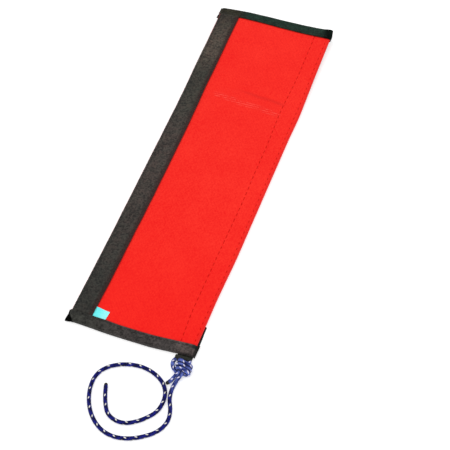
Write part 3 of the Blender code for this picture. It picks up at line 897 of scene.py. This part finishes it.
TAPE_X0, TAPE_X1 = -0.0738, 0.0733
tape_cols = spaced(TAPE_X0, TAPE_X1, 0.0015, list(CUTS))
tapes = {}
for end, word in ((-1, "near"), (1, "far")):
    left_in = 0.0
    rows = [tape_section(x, end) for x in tape_cols]
    m = len(rows[0])
    grid = [[(x, rows[i][s][0], rows[i][s][1]) for i, x in enumerate(tape_cols)] for s in range(m)]
    # the cut ends are a little ragged and lean
    for s in range(m):
        for i in (0, len(tape_cols) - 1):
            p = grid[s][i]
            out_by = 0.0004 * n3(p[1] * 300, p[2] * 400, end)
            inner = smooth((0.2394 - abs(p[1])) / 0.0009)
            if i == 0 and end < 0:
                out_by -= 0.0010 * min(max(abs(p[1]) - 0.2400, 0.0) / 0.0100, 1.0) + 0.0002
                out_by -= 0.0012 * inner
                # the tip droops outward, and draws the cloth beside it along
                p = (p[0], p[1] - 0.0018 * smooth((abs(p[1]) - 0.2462) / 0.0030), p[2])
                for j, share in ((1, 0.0012), (2, 0.0005)):
                    q = grid[s][j]
                    grid[s][j] = (q[0], q[1] - share * smooth((abs(q[1]) - 0.2462) / 0.0030), q[2])
            if i == 0 and end > 0:
                out_by -= 0.0013 * smooth((0.2416 - abs(p[1])) / 0.0012)
            if i and end > 0:
                out_by -= 0.0012 * smooth((abs(p[1]) - 0.2430) / 0.005)
            if i and end < 0:
                out_by += 0.0020 - 0.0014 * smooth((abs(p[1]) - 0.2410) / 0.002)
                out_by += 0.0012 * smooth((abs(p[1]) - 0.2465) / 0.003)
                p = (p[0], p[1] - 0.0020 * smooth((abs(p[1]) - 0.2450) / 0.005), p[2])
            grid[s][i] = (p[0] + out_by, p[1], p[2])
    plain = grid
    grid = sewn_grid(grid)
    nrm = loop_normals(grid)
    if nrm[8][len(tape_cols) // 2][2] < 0:
        nrm = -nrm
        flip = True
    else:
        flip = False
    # the run of the grid decides which way faces look; test on one face
    a = Vector(grid[8][40]); b = Vector(grid[9][40]); c = Vector(grid[9][41])
    face_up = (b - a).cross(c - a).z > 0
    index = {round(x, 7): i for i, x in enumerate(tape_cols)}
    for k in range(6):
        i0 = index[round(CUTS[k - 1], 7)] if k else 0
        i1 = index[round(CUTS[k], 7)] if k < 5 else len(tape_cols) - 1
        sub = [row[i0:i1 + 1] for row in grid]
        subn = [row[i0:i1 + 1] for row in nrm]
        subr = [row[i0:i1 + 1] for row in plain]
        ob = skin(sub, subn, list(range(m)), "end_tape_%s_part_%d" % (word, k + 1), [TAPE],
                  flip=not face_up, rest=subr)
        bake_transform(ob)
        names = ["end_tape_%s_%d" % (word, k + 1)] + (["end_tape_%s_7" % word] if k == 5 else [])
        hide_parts(*names)
        x0 = CUTS[k - 1] if k else TAPE_X0
        x1 = CUTS[k] if k < 5 else TAPE_X1
        tapes[word, k] = ob
        # stitches of this stretch
        verts, faces, rest = [], [], []
        pitch = 0.0041
        n = 0
        x = -0.0712 + (0.0006 if end > 0 else 0.0)
        while x + pitch < 0.0716:
            xa, xb = x + 0.0004, x + pitch - 0.0005
            if x0 <= (xa + xb) / 2 < x1:
                ya, yb = (end * (tape_edge(q, end) + 0.0027) for q in (xa, xb))
                za, zb = (TOP_Z1 - 0.00020 + seat(q, yq) for q, yq in ((xa, ya), (xb, yb)))
                stitch(verts, faces, rest, (xa, ya, za), (xb, yb, zb), (0, 0, 1),
                       radius=0.00028, rise=0.00018, run=n * 0.01)
                if min(under_free(xa, end), under_free(xb, end)) > 0.9:
                    za, zb = (0.00034 + lift(q, yq) for q, yq in ((xa, ya), (xb, yb)))
                    stitch(verts, faces, rest, (xa, ya, za), (xb, yb, zb), (0, 0, -1),
                           radius=0.00024, rise=0.00006, run=n * 0.01)
            x += pitch
            n += 1
        so = new_object("tape_stitches_%s_part_%d" % (word, k + 1), verts, faces, [THREAD], rest=rest)
        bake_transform(so)
        names = ["tape_seam_%s_%d" % (word, k + 1)] + (["tape_seam_%s_7" % word] if k == 5 else [])
        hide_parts(*names)


# ------------------------------------------------------------------ loop strip
def strip_grid(xs, rows, top, bottom, edge=0.0004):
    """Closed section of a flat strip whose top is a height function."""
    grid = []
    for i, x in enumerate(xs):
        grid.append([(x(y) if callable(x) else x, y, top(x(y) if callable(x) else x, y))
                     for y in rows])
    low = [xs[0], xs[len(xs) // 4], xs[len(xs) // 2], xs[3 * len(xs) // 4], xs[-1]]
    for x in reversed(low):
        grid.append([(x(y) if callable(x) else x, y, bottom(x(y) if callable(x) else x, y))
                     for y in rows])
    return grid


def finish_strip(name, rest, mats):
    grid = sewn_grid(rest)
    nrm = loop_normals(grid)
    mid = len(grid) // 3
    if nrm[mid][len(grid[0]) // 2][2] < 0:
        nrm = -nrm
    a, b, c = (Vector(grid[mid][5]), Vector(grid[mid + 1][5]), Vector(grid[mid + 1][6]))
    up = (b - a).cross(c - a).z > 0
    return skin(grid, nrm, list(range(len(grid))), name, mats, flip=not up, rest=rest)


def loop_top(x, y):
    z = LOOP_Z1 + seat(x, y)
    d = min(x - LOOP_X0, LOOP_X1 - x)
    z -= 0.0009 * (1 - smooth(d / 0.0013))
    z += 0.00022 * n3(x * 620, y * 620, 0.3) + 0.00016 * n3(x * 210, y * 210, 5.0)
    z += 0.00012 * n3(x * 60, y * 60, 9.0)
    for r in LOOP_ROWS:
        z -= 0.00050 * bump(x - r, 0.0009)
    return z


def across(f):
    return lambda y: loop_left(y) + (loop_right(y) - loop_left(y)) * f


n_across = 32
xs = [across(i / n_across) for i in range(n_across + 1)]
rows = spaced(-0.2396, 0.2392, 0.0010)
# both ends run in under the tapes, which keeps the joint closed from every side


def tucked(x, y, z):
    t = smooth((abs(y) - tape_edge(x, -1 if y < 0 else 1) + 0.0001) / 0.0008)
    return z + (TOP_Z0 + 0.0002 + seat(x, y) - z) * t


grid = strip_grid(xs, rows, lambda x, y: tucked(x, y, loop_top(x, y)),
                  lambda x, y: TOP_Z0 - 0.0002 + seat(x, y))
loop = finish_strip("loop_strip_pile", grid, [PILE])
inner = [smooth((v.vector[0] - loop_right(v.vector[1]) + 0.0060) / 0.0052)
         for v in loop.data.attributes["rest"].data]
loop.data.attributes.new("inner", "FLOAT", "POINT").data.foreach_set("value", inner)
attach(loop, "loop_edge")
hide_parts("loop_strip")

for x, word in zip(LOOP_ROWS, ("outer", "inner")):
    shift = 0.0 if word == "outer" else -0.0012
    ob = row_along_y("loop_stitches_" + word, lambda y, x=x: x + 0.0002 * n3(y * 40, x * 90),
                     -0.2365 + shift, 0.2365, 0.0041, THREAD, 0.0009,
                     lambda xx, yy: LOOP_Z1 - 0.00042 + seat(xx, yy), seed=3,
                     under=lambda xx, yy: HOSE_Z0 + 0.00008 + lift(xx, yy),
                     radius=0.00026, rise=0.00018)
    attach(ob, "loop_edge")
    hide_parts("loop_seam_" + word)


# ------------------------------------------------------------------ hook strip
def hook_right(y):
    """Sewn on slightly askew: its edge comes out past the fold near the cord."""
    out_to = (0.0722 + 0.0005 * smooth((-0.215 - y) / 0.015) - side_shift(HALF_W, y)
              + 0.00014 * n3(y * 400, 3.3))
    t = smooth((-0.2070 - y) / 0.0020)
    return HOOK_X1 + (out_to - HOOK_X1) * t


hx = [(lambda f: (lambda y: HOOK_X0 + (hook_right(y) - HOOK_X0) * f))(i / 26) for i in range(27)]
rows = spaced(-0.2346, 0.2346, 0.00080)
grid = []
for i, f in enumerate(hx):
    line = []
    for j, y in enumerate(rows):
        x = f(y)
        stud = 1 <= i <= 25 and i % 2 == 1 and j % 2 == (i // 2) % 2
        inside = 5 <= i <= 20
        z = 0.00006 if (stud and inside) else 0.00045
        if i in (0, 26):
            z = 0.0006
        line.append((x, y, z + lift(x, y)))
    grid.append(line)
for f in reversed([hx[0], hx[6], hx[13], hx[20], hx[26]]):
    grid.append([(f(y), y, TAPE_T + lift(f(y), y)) for y in rows])
plain = grid
grid = sewn_grid(grid)
nrm = loop_normals(grid)
if nrm[len(grid) - 3][len(rows) // 2][2] < 0:
    nrm = -nrm
a, b, c = (Vector(grid[-3][5]), Vector(grid[-2][5]), Vector(grid[-2][6]))
hook = skin(grid, nrm, list(range(len(grid))), "hook_strip_hooks", [HOOK],
            flip=not (b - a).cross(c - a).z > 0, rest=plain)
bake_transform(hook)
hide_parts("hook_strip")

for k, word in enumerate(("inner", "outer")):
    ob = row_along_y("hook_stitches_" + word, lambda y, k=k: row_x(k, y), ROW_START[k], 0.2385,
                     HOOK_PITCH, SEAM_RED, ROW_GAP[k],
                     lambda xx, yy: HOSE_Z1 + seat(xx, yy) - 0.00026, seed=11 + k,
                     under=lambda xx, yy: 0.00045 + lift(xx, yy),
                     radius=0.00034, rise=0.00016, sink=0.00045)
    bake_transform(ob)
    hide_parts("hook_seam_" + word)

# ------------------------------------------------------------------ label
CORNERS = [unsewn(x * MM, y * MM) for x, y in
           ((-48.9, -221.7), (-32.3, -224.6), (-33.6, -236.2), (-48.9, -235.6))]


def on_label(u, v):
    a, b, c, d = (Vector((*q, 0)) for q in CORNERS)
    return a.lerp(b, u).lerp(d.lerp(c, u), v)


nu, nv = 16, 12
grid = []
for i in range(nu + 1):
    line = []
    for j in range(nv + 1):
        p = on_label(i / nu, j / nv)
        e = min(i, nu - i, j, nv - j)
        z = HOSE_Z1 + 0.00052 + seat(p.x, p.y) + 0.00010 * math.sin(i * 0.7) * math.sin(j * 0.5)
        if e == 0:
            z -= 0.00022
        z += 0.00035 * smooth((i / nu - 0.8) / 0.2) * smooth((0.45 - j / nv) / 0.45)
        line.append((p.x, p.y, z))
    grid.append(line)
for i in reversed(range(0, nu + 1, 4)):
    line = []
    for j in range(nv + 1):
        p = on_label(i / nu, j / nv)
        z = HOSE_Z1 + 0.00008 + seat(p.x, p.y)
        line.append((p.x, p.y, z))
    grid.append(line)
plain = grid
grid = sewn_grid(grid)
nrm = loop_normals(grid)
if nrm[nu // 2][nv // 2][2] < 0:
    nrm = -nrm
a, b, c = (Vector(grid[4][5]), Vector(grid[5][5]), Vector(grid[5][6]))
label = skin(grid, nrm, list(range(len(grid))), "side_label", [CYAN],
             flip=not (b - a).cross(c - a).z > 0, rest=plain)
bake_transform(label)
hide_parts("label")

# ------------------------------------------------------------------ cord tab
EYE_Y, EYE_Z = -0.2542, 0.0033
TAB_X0, TAB_X1 = 0.0540, 0.0712
RI, RO = 0.00245, 0.00330


def tab_outline():
    """The webbing comes out from under the tape, turns round the cord and goes back in."""
    mid = []
    for y in (-0.2360, -0.2400, -0.2440, -0.2475):
        mid.append((y, 0.00055))
    for a in range(-60, -331, -15):
        r = (RI + RO) / 2
        mid.append((EYE_Y + r * math.cos(math.radians(a)), EYE_Z + r * math.sin(math.radians(a))))
    return mid


mid_line = tab_outline()
half_t = (RO - RI) / 2
outer, inner = [], []
for i, p in enumerate(mid_line):
    q0 = mid_line[max(i - 1, 0)]
    q1 = mid_line[min(i + 1, len(mid_line) - 1)]
    t = Vector((q1[0] - q0[0], q1[1] - q0[1])).normalized()
    nrm2 = Vector((t.y, -t.x))
    outer.append((p[0] + nrm2.x * half_t, p[1] + nrm2.y * half_t))
    inner.append((p[0] - nrm2.x * half_t, p[1] - nrm2.y * half_t))
outline = outer + inner[::-1]
tab_xs = spaced(TAB_X0, TAB_X1, 0.0006)
grid = []
for yy, zz in outline:
    line = []
    for i, x in enumerate(tab_xs):
        e = min(i, len(tab_xs) - 1 - i)
        rib = 0.00006 * math.sin(x * TAU / 0.0013 * 0.5) if e > 1 else 0.0
        wob = 0.00025 * n3(yy * 300, zz * 300, 2.0) * (1 if e == 0 else 0)
        line.append((x + wob, yy, max(zz + rib, 0.00012)))
    grid.append(line)
nrm = loop_normals(grid)
centre = Vector((0, EYE_Y, EYE_Z))
k_out = len(mid_line) - 6
probe = Vector(grid[k_out][5])
if Vector(nrm[k_out][5]).dot(Vector((0, probe.y - EYE_Y, probe.z - EYE_Z))) < 0:
    nrm = -nrm
a, b, c = (Vector(grid[k_out][5]), Vector(grid[k_out + 1][5]), Vector(grid[k_out + 1][6]))
out_face = (b - a).cross(c - a).dot(Vector((0, probe.y - EYE_Y, probe.z - EYE_Z))) > 0
tab = skin(grid, nrm, list(range(len(grid))), "tab_loop", [WEB], flip=not out_face)
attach(tab, "hook_edge")
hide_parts("cord_tab")


# ------------------------------------------------------------------ cord
def curve_through(points, step):
    """Evenly spaced points on a centripetal curve through the given ones."""
    pts = [Vector(p) for p in points]
    pts = [2 * pts[0] - pts[1]] + pts + [2 * pts[-1] - pts[-2]]
    fine = []
    for i in range(1, len(pts) - 2):
        p0, p1, p2, p3 = pts[i - 1:i + 3]
        t0 = 0.0
        t1 = t0 + (p1 - p0).length ** 0.5
        t2 = t1 + (p2 - p1).length ** 0.5
        t3 = t2 + (p3 - p2).length ** 0.5
        for k in range(24):
            t = t1 + (t2 - t1) * k / 24
            a1 = p0 * ((t1 - t) / (t1 - t0)) + p1 * ((t - t0) / (t1 - t0))
            a2 = p1 * ((t2 - t) / (t2 - t1)) + p2 * ((t - t1) / (t2 - t1))
            a3 = p2 * ((t3 - t) / (t3 - t2)) + p3 * ((t - t2) / (t3 - t2))
            b1 = a1 * ((t2 - t) / (t2 - t0)) + a2 * ((t - t0) / (t2 - t0))
            b2 = a2 * ((t3 - t) / (t3 - t1)) + a3 * ((t - t1) / (t3 - t1))
            fine.append(b1 * ((t2 - t) / (t2 - t1)) + b2 * ((t - t1) / (t2 - t1)))
    fine.append(pts[-2])
    p = np.array([tuple(q) for q in fine])
    run = np.concatenate([[0.0], np.cumsum(np.linalg.norm(np.diff(p, axis=0), axis=1))])
    n = max(2, round(run[-1] / step))
    s = np.linspace(0, run[-1], n + 1)
    return np.stack([np.interp(s, run, p[:, k]) for k in range(3)], 1)


FLOOR_Z = 0.0023
ROUTE = [(0.0672, -0.2752, 0.0046), (0.0656, -0.2815, 0.0034), (0.0645, -0.2885, 0.0025),
         (0.0647, -0.2960, FLOOR_Z), (0.0666, -0.3045, FLOOR_Z), (0.0716, -0.3160, FLOOR_Z),
         (0.0738, -0.3270, FLOOR_Z),
         (0.0722, -0.3362, FLOOR_Z), (0.0665, -0.3456, FLOOR_Z), (0.0581, -0.3528, FLOOR_Z),
         (0.0490, -0.3582, FLOOR_Z), (0.0393, -0.3619, FLOOR_Z), (0.0277, -0.3633, FLOOR_Z),
         (0.0165, -0.3611, FLOOR_Z), (0.0064, -0.3556, FLOOR_Z), (-0.0027, -0.3471, FLOOR_Z),
         (-0.0093, -0.3377, FLOOR_Z), (-0.0145, -0.3263, FLOOR_Z), (-0.0173, -0.3145, FLOOR_Z),
         (-0.0176, -0.3042, FLOOR_Z), (-0.0145, -0.2943, FLOOR_Z), (-0.0077, -0.2865, FLOOR_Z),
         (0.0015, -0.2808, FLOOR_Z), (0.0118, -0.2774, FLOOR_Z), (0.0228, -0.2762, FLOOR_Z),
         (0.0345, -0.2779, FLOOR_Z), (0.0447, -0.2822, FLOOR_Z), (0.0535, -0.2890, FLOOR_Z),
         (0.0594, -0.2988, FLOOR_Z), (0.0612, -0.3106, FLOOR_Z), (0.0588, -0.3224, FLOOR_Z),
         (0.0519, -0.3320, FLOOR_Z), (0.0431, -0.3398, FLOOR_Z), (0.0330, -0.3449, FLOOR_Z),
         (0.0222, -0.3450, FLOOR_Z), (0.0121, -0.3398, FLOOR_Z), (0.0055, -0.3299, FLOOR_Z),
         (0.0005, -0.3184, FLOOR_Z), (-0.0024, -0.3098, FLOOR_Z)]

# the knot, from the long end up through its core, round the tab's eye, down the left flank,
# under the core, three turns round it and out again as the short tail
KNOT = [(67.2, -275.2, 4.6), (68.6, -271.6, 5.2), (69.2, -268.2, 5.4), (69.7, -264.1, 6.0),
        (71.4, -260.0, 5.2), (73.0, -256.8, 4.0), (72.2, -254.7, 3.4), (69.6, -254.2, 3.3),
        (66.0, -254.2, 3.3), (62.0, -254.2, 3.3), (58.0, -254.2, 3.3), (55.4, -254.2, 3.3),
        (53.3, -255.8, 3.4), (52.6, -259.2, 3.7), (52.6, -263.0, 4.0), (54.8, -267.1, 4.2),
        (58.5, -270.3, 3.8), (62.9, -272.5, 3.0), (67.5, -273.4, 2.3), (72.0, -273.3, 2.8),
        (75.5, -271.4, 4.2), (76.9, -270.0, 6.4), (75.8, -269.9, 9.0), (72.3, -270.4, 10.3),
        (67.7, -269.8, 9.9), (63.3, -268.0, 7.8), (61.2, -266.4, 4.6), (63.8, -265.9, 2.4),
        (68.8, -266.0, 2.1), (73.7, -266.4, 2.7), (77.0, -266.6, 5.6), (75.5, -266.8, 9.1),
        (70.8, -266.7, 10.4), (65.2, -265.2, 10.0), (60.9, -263.9, 8.0), (58.9, -263.0, 5.0),
        (60.6, -262.3, 2.7), (64.8, -262.4, 2.1), (70.5, -263.0, 2.7), (76.4, -263.6, 5.4),
        (75.7, -263.8, 8.7), (71.2, -262.9, 9.8), (65.4, -261.1, 9.9), (60.2, -259.6, 8.8),
        (57.6, -260.8, 7.0), (60.0, -263.4, 6.0), (63.4, -266.4, 6.0), (65.4, -270.2, 6.2),
        (65.6, -274.4, 5.8), (63.9, -278.4, 5.0), (61.2, -282.0, 4.0), (58.2, -285.2, 3.0)]


def settle(points, fixed, radius, rounds=260):
    """Pulls the knot's turns snug and pushes them off each other and the floor."""
    p = np.array(points)
    rest = np.linalg.norm(np.diff(p, axis=0), axis=1)
    n = len(p)
    hold = np.array([fixed(i, q) for i, q in enumerate(p)])
    start = p.copy()
    gap = np.abs(np.subtract.outer(np.arange(n), np.arange(n)))
    arc = gap * rest.mean()
    pair = arc > 3.2 * radius
    for step in range(rounds):
        d = p[:, None] - p[None]
        dist = np.linalg.norm(d, axis=2) + 1e-9
        want = 1.93 * radius
        push = np.where(pair & (dist < want), (want - dist) / dist, 0.0)
        move = (d * push[..., None]).sum(1) * 0.28
        lap = np.zeros_like(p)
        lap[1:-1] = (p[:-2] + p[2:]) / 2 - p[1:-1]
        p = p + (move + lap * 0.22) * (~hold)[:, None]
        for _ in range(2):
            e = p[1:] - p[:-1]
            ln = np.linalg.norm(e, axis=1)
            c = (e * ((ln - rest * 0.985) / ln)[:, None]) * 0.5 * 0.7
            q = np.zeros_like(p)
            q[:-1] += c
            q[1:] -= c
            p = p + q * (~hold)[:, None]
        low = radius + 0.0003
        p[:, 2] = np.where(hold, p[:, 2], np.maximum(p[:, 2], low))
    return p


knot_pts = curve_through([tuple(c * MM for c in q) for q in KNOT], 0.0012)
knot_pts = settle(knot_pts, lambda i, q: (i < 3 or i > len(knot_pts) - 4
                                          or (0.0552 < q[0] < 0.0702 and abs(q[1] + 0.2542) < 0.0006
                                              and q[2] < 0.0040)), CORD_R)
knot_line = curve_through([tuple(q) for q in knot_pts[::2]] + [tuple(knot_pts[-1])], 0.00045)
main_line = curve_through(ROUTE, 0.00045)
# the long end's piece starts inside the knot's core
inside = int(0.0085 / 0.00045)
lead_in = knot_line[:inside + 1][::-1]
main_line = np.concatenate([lead_in[:-1], main_line])
knot_only = knot_line[inside - 4:]


def frames(line, up=Vector((0, 0, 1))):
    """A steady frame along the line: tangent, and two sides across it."""
    p = np.array(line)
    t = np.gradient(p, axis=0)
    t /= np.linalg.norm(t, axis=1, keepdims=True)
    n = np.zeros_like(p)
    u = np.array(up, float)
    v = u - t[0] * (u @ t[0])
    v /= np.linalg.norm(v)
    for i in range(len(p)):
        v = v - t[i] * (v @ t[i])
        v /= np.linalg.norm(v)
        n[i] = v
    return t, n, np.cross(t, n)


def braid_tube(name, line, mat, s0=0.0, sides=32, fleck_dirs=None, pitch=0.0114,
               worn=lambda q: 1.0, size=(0.00168, 0.00065), near_by=None):
    """A braided cord: strands stand up in a lattice, and pale tracer yarns surface in flecks."""
    p = np.array(line)
    t, n, b = frames(line)
    seg = np.linalg.norm(np.diff(p, axis=0), axis=1)
    s = np.concatenate([[0], np.cumsum(seg)]) + s0
    verts, rest, height, fleck, nrm = [], [], [], [], []
    m = len(p)
    strands, lay = 8, 0.0068
    for i in range(m):
        aim = []
        for d, off, amp in fleck_dirs:
            d = np.array(d)
            aim.append((math.atan2(d @ b[i], d @ n[i]), off, amp))
        for q in range(sides):
            th = TAU * q / sides
            fa = strands * th / TAU * 1.0 + s[i] / lay * 4
            fb = strands * th / TAU * 1.0 - s[i] / lay * 4
            h = (0.5 + 0.5 * math.cos(TAU * fa)) * (0.5 + 0.5 * math.cos(TAU * fb))
            h2 = (0.5 - 0.5 * math.cos(TAU * fa)) * (0.5 - 0.5 * math.cos(TAU * fb))
            hh = max(h, h2)
            r = CORD_R + 0.00026 * hh
            out = n[i] * math.cos(th) + b[i] * math.sin(th)
            verts.append(tuple(p[i] + out * r))
            nrm.append(tuple(out))
            rest.append((th * CORD_R, s[i], 0.0))
            height.append(hh)
            f = 0.0
            for ang, off, amp in aim:
                dth = (th - ang + math.pi) % TAU - math.pi
                for sgn in (1.0,):
                    k = round((s[i] - off) / pitch)
                    ds = s[i] - off - k * pitch
                    jit = (rand(k, off * 999) - 0.5)
                    du = (dth + jit * 0.25) * CORD_R
                    dv = ds + jit * 0.0006
                    # slanted like the strand it belongs to
                    along = dv * 0.90 + du * 0.44
                    off_axis = du * 0.90 - dv * 0.44
                    dd = (along / size[0]) ** 2 + (off_axis / size[1]) ** 2
                    f = max(f, amp * (0.72 + 0.28 * rand(k, off * 777 + 5)) * smooth(1.5 - dd))
            # none is left where the end is shrunk and sealed
            fleck.append(f * smooth((s[-1] - s[i] - 0.0024) / 0.0014))
    faces = []
    for i in range(m - 1):
        for q in range(sides):
            w = (q + 1) % sides
            faces.append([i * sides + q, i * sides + w, (i + 1) * sides + w, (i + 1) * sides + q])
    faces.append([q for q in range(sides)][::-1])
    faces.append([(m - 1) * sides + q for q in range(sides)])
    # n, b, t is right handed when t = n x b
    if np.dot(np.cross(n[0], b[0]), t[0]) < 0:
        faces = [f[::-1] for f in faces]
    ob = new_object(name, verts, faces, [mat], rest=rest)
    faded = [worn(rest[i][1] - s0) for i in range(len(rest))]
    crevice = []
    others = np.array(near_by) if near_by is not None else None
    for i in range(m):
        if others is None:
            crevice += [0.0] * sides
            continue
        far_along = np.ones(len(others), bool)
        if near_by is line:
            far_along = np.abs(np.arange(m) - i) * 0.00045 > 2.6 * CORD_R
        else:
            # the same cord runs on from here, so only what lies beside it counts
            far_along = np.arange(len(others)) > 24
        pool = others[far_along]
        pool = pool[np.linalg.norm(pool - p[i], axis=1) < 3.2 * CORD_R]
        for q in range(sides):
            if not len(pool):
                crevice.append(0.0)
                continue
            d = np.linalg.norm(pool - np.array(verts[i * sides + q]), axis=1).min()
            crevice.append(smooth(1 - (d - CORD_R) / 0.0022))
    for key, data in (("braid", height), ("fleck", fleck), ("worn", faded), ("crevice", crevice)):
        at = ob.data.attributes.new(key, "FLOAT", "POINT")
        at.data.foreach_set("value", np.array(data, np.float32))
    return ob


def toward(angle):
    """A direction across the line of sight: 0 faces the viewer, 90 is up in the picture."""
    a = math.radians(angle)
    return tuple(TO_CAMERA * math.cos(a) + IMAGE_UP * math.sin(a))


FLOOR_FLECKS = [(toward(38), 0.0, 1.0), (toward(-68), 0.0024, 0.9), (toward(165), 0.0045, 1.0)]
KNOT_FLECKS = [(toward(22), 0.0, 1.0), (toward(-62), 0.0040, 1.0), (toward(150), 0.0064, 1.0)]
cord = braid_tube("tie_cord", main_line, BLUE, fleck_dirs=FLOOR_FLECKS,
                  worn=lambda q: 1 - smooth((q - 0.014) / 0.022), near_by=knot_only)
knot = braid_tube("knot_cord", knot_only, BLUE, s0=0.5, fleck_dirs=KNOT_FLECKS, pitch=0.0080,
                  size=(0.00152, 0.00060), near_by=knot_only)


def tip(name, start, end, seed):
    """A heat-sealed end: a short shrunken sleeve with a rounded, slightly lumpy nose."""
    a, b = Vector(start), Vector(end)
    d = (b - a).normalized()
    side = d.cross(Vector((0, 0, 1))).normalized()
    up = side.cross(d)
    prof = [(-0.0004, 0.00198), (0.0002, 0.00206), (0.0012, 0.00200), (0.0020, 0.00190),
            (0.0026, 0.00170), (0.0031, 0.00130), (0.0034, 0.00080), (0.0035, 0.00030)]
    verts, faces = [], []
    sides = 18
    for i, (s, r) in enumerate(prof):
        for q in range(sides):
            th = TAU * q / sides
            rr = r * (1 + 0.07 * n3(math.cos(th) * 1.5, math.sin(th) * 1.5 + seed, s * 900))
            verts.append(tuple(a + d * s + side * (rr * math.cos(th)) + up * (rr * math.sin(th))))
    for i in range(len(prof) - 1):
        for q in range(sides):
            w = (q + 1) % sides
            faces.append([i * sides + q, i * sides + w, (i + 1) * sides + w, (i + 1) * sides + q][::-1])
    faces.append([q for q in range(sides)])
    faces.append([(len(prof) - 1) * sides + q for q in range(sides)][::-1])
    return new_object(name, verts, faces, [TIP])


end_dir = Vector(main_line[-1]) - Vector(main_line[-6])
end_tip = tip("tie_cord_sealed_end", main_line[-1], Vector(main_line[-1]) + end_dir, 1.0)
tail_dir = Vector(knot_only[-1]) - Vector(knot_only[-6])
tail_tip = tip("knot_tail_sealed_end", knot_only[-1], Vector(knot_only[-1]) + tail_dir, 4.0)

for ob, nodes, sl in ((cord, ["cord"], "cord_blue"), (knot, ["cord_knot", "cord_eye", "cord_tail"], "cord_blue"),
                      (end_tip, ["cord_end_tip"], "cord_tip"), (tail_tip, ["cord_tail_tip"], "cord_tip")):
    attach(ob, "hook_edge")
    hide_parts(*nodes)


# ------------------------------------------------------------------ floor and light
def stage_set():
    me = bpy.data.meshes.new("floor")
    s = 6.0
    me.from_pydata([(-s, -s, 0), (s, -s, 0), (s, s, 0), (-s, s, 0)], [], [(0, 1, 2, 3)])
    fl = bpy.data.objects.new("floor", me)
    scene.collection.objects.link(fl)
    m = Nodes("floor_white", (0.72, 0.72, 0.72), 0.9, specular=0.1)
    m.bsdf.inputs["Emission Color"].default_value = (1, 1, 1, 1)
    m.bsdf.inputs["Emission Strength"].default_value = 0.46
    me.materials.append(m.mat)

    world = bpy.data.worlds.new("studio")
    world.use_nodes = True
    world.node_tree.nodes["Background"].inputs["Color"].default_value = (1, 1, 1, 1)
    world.node_tree.nodes["Background"].inputs["Strength"].default_value = 0.92
    scene.world = world

    def area(name, loc, target, size, power):
        li = bpy.data.lights.new(name, "AREA")
        li.shape = "DISK"
        li.size = size
        li.energy = power
        ob = bpy.data.objects.new(name, li)
        ob.location = loc
        ob.rotation_mode = "QUATERNION"
        ob.rotation_quaternion = (Vector(loc) - Vector(target)).to_track_quat("Z", "Y")
        scene.collection.objects.link(ob)

    area("key", (-0.5, -1.3, 2.4), (0, 0, 0), 1.8, 12.0)
    area("fill", (1.5, 0.7, 2.0), (0, 0, 0), 1.8, 6.0)


stage_set()
scene.view_settings.view_transform = "Standard"
scene.view_settings.look = "None"
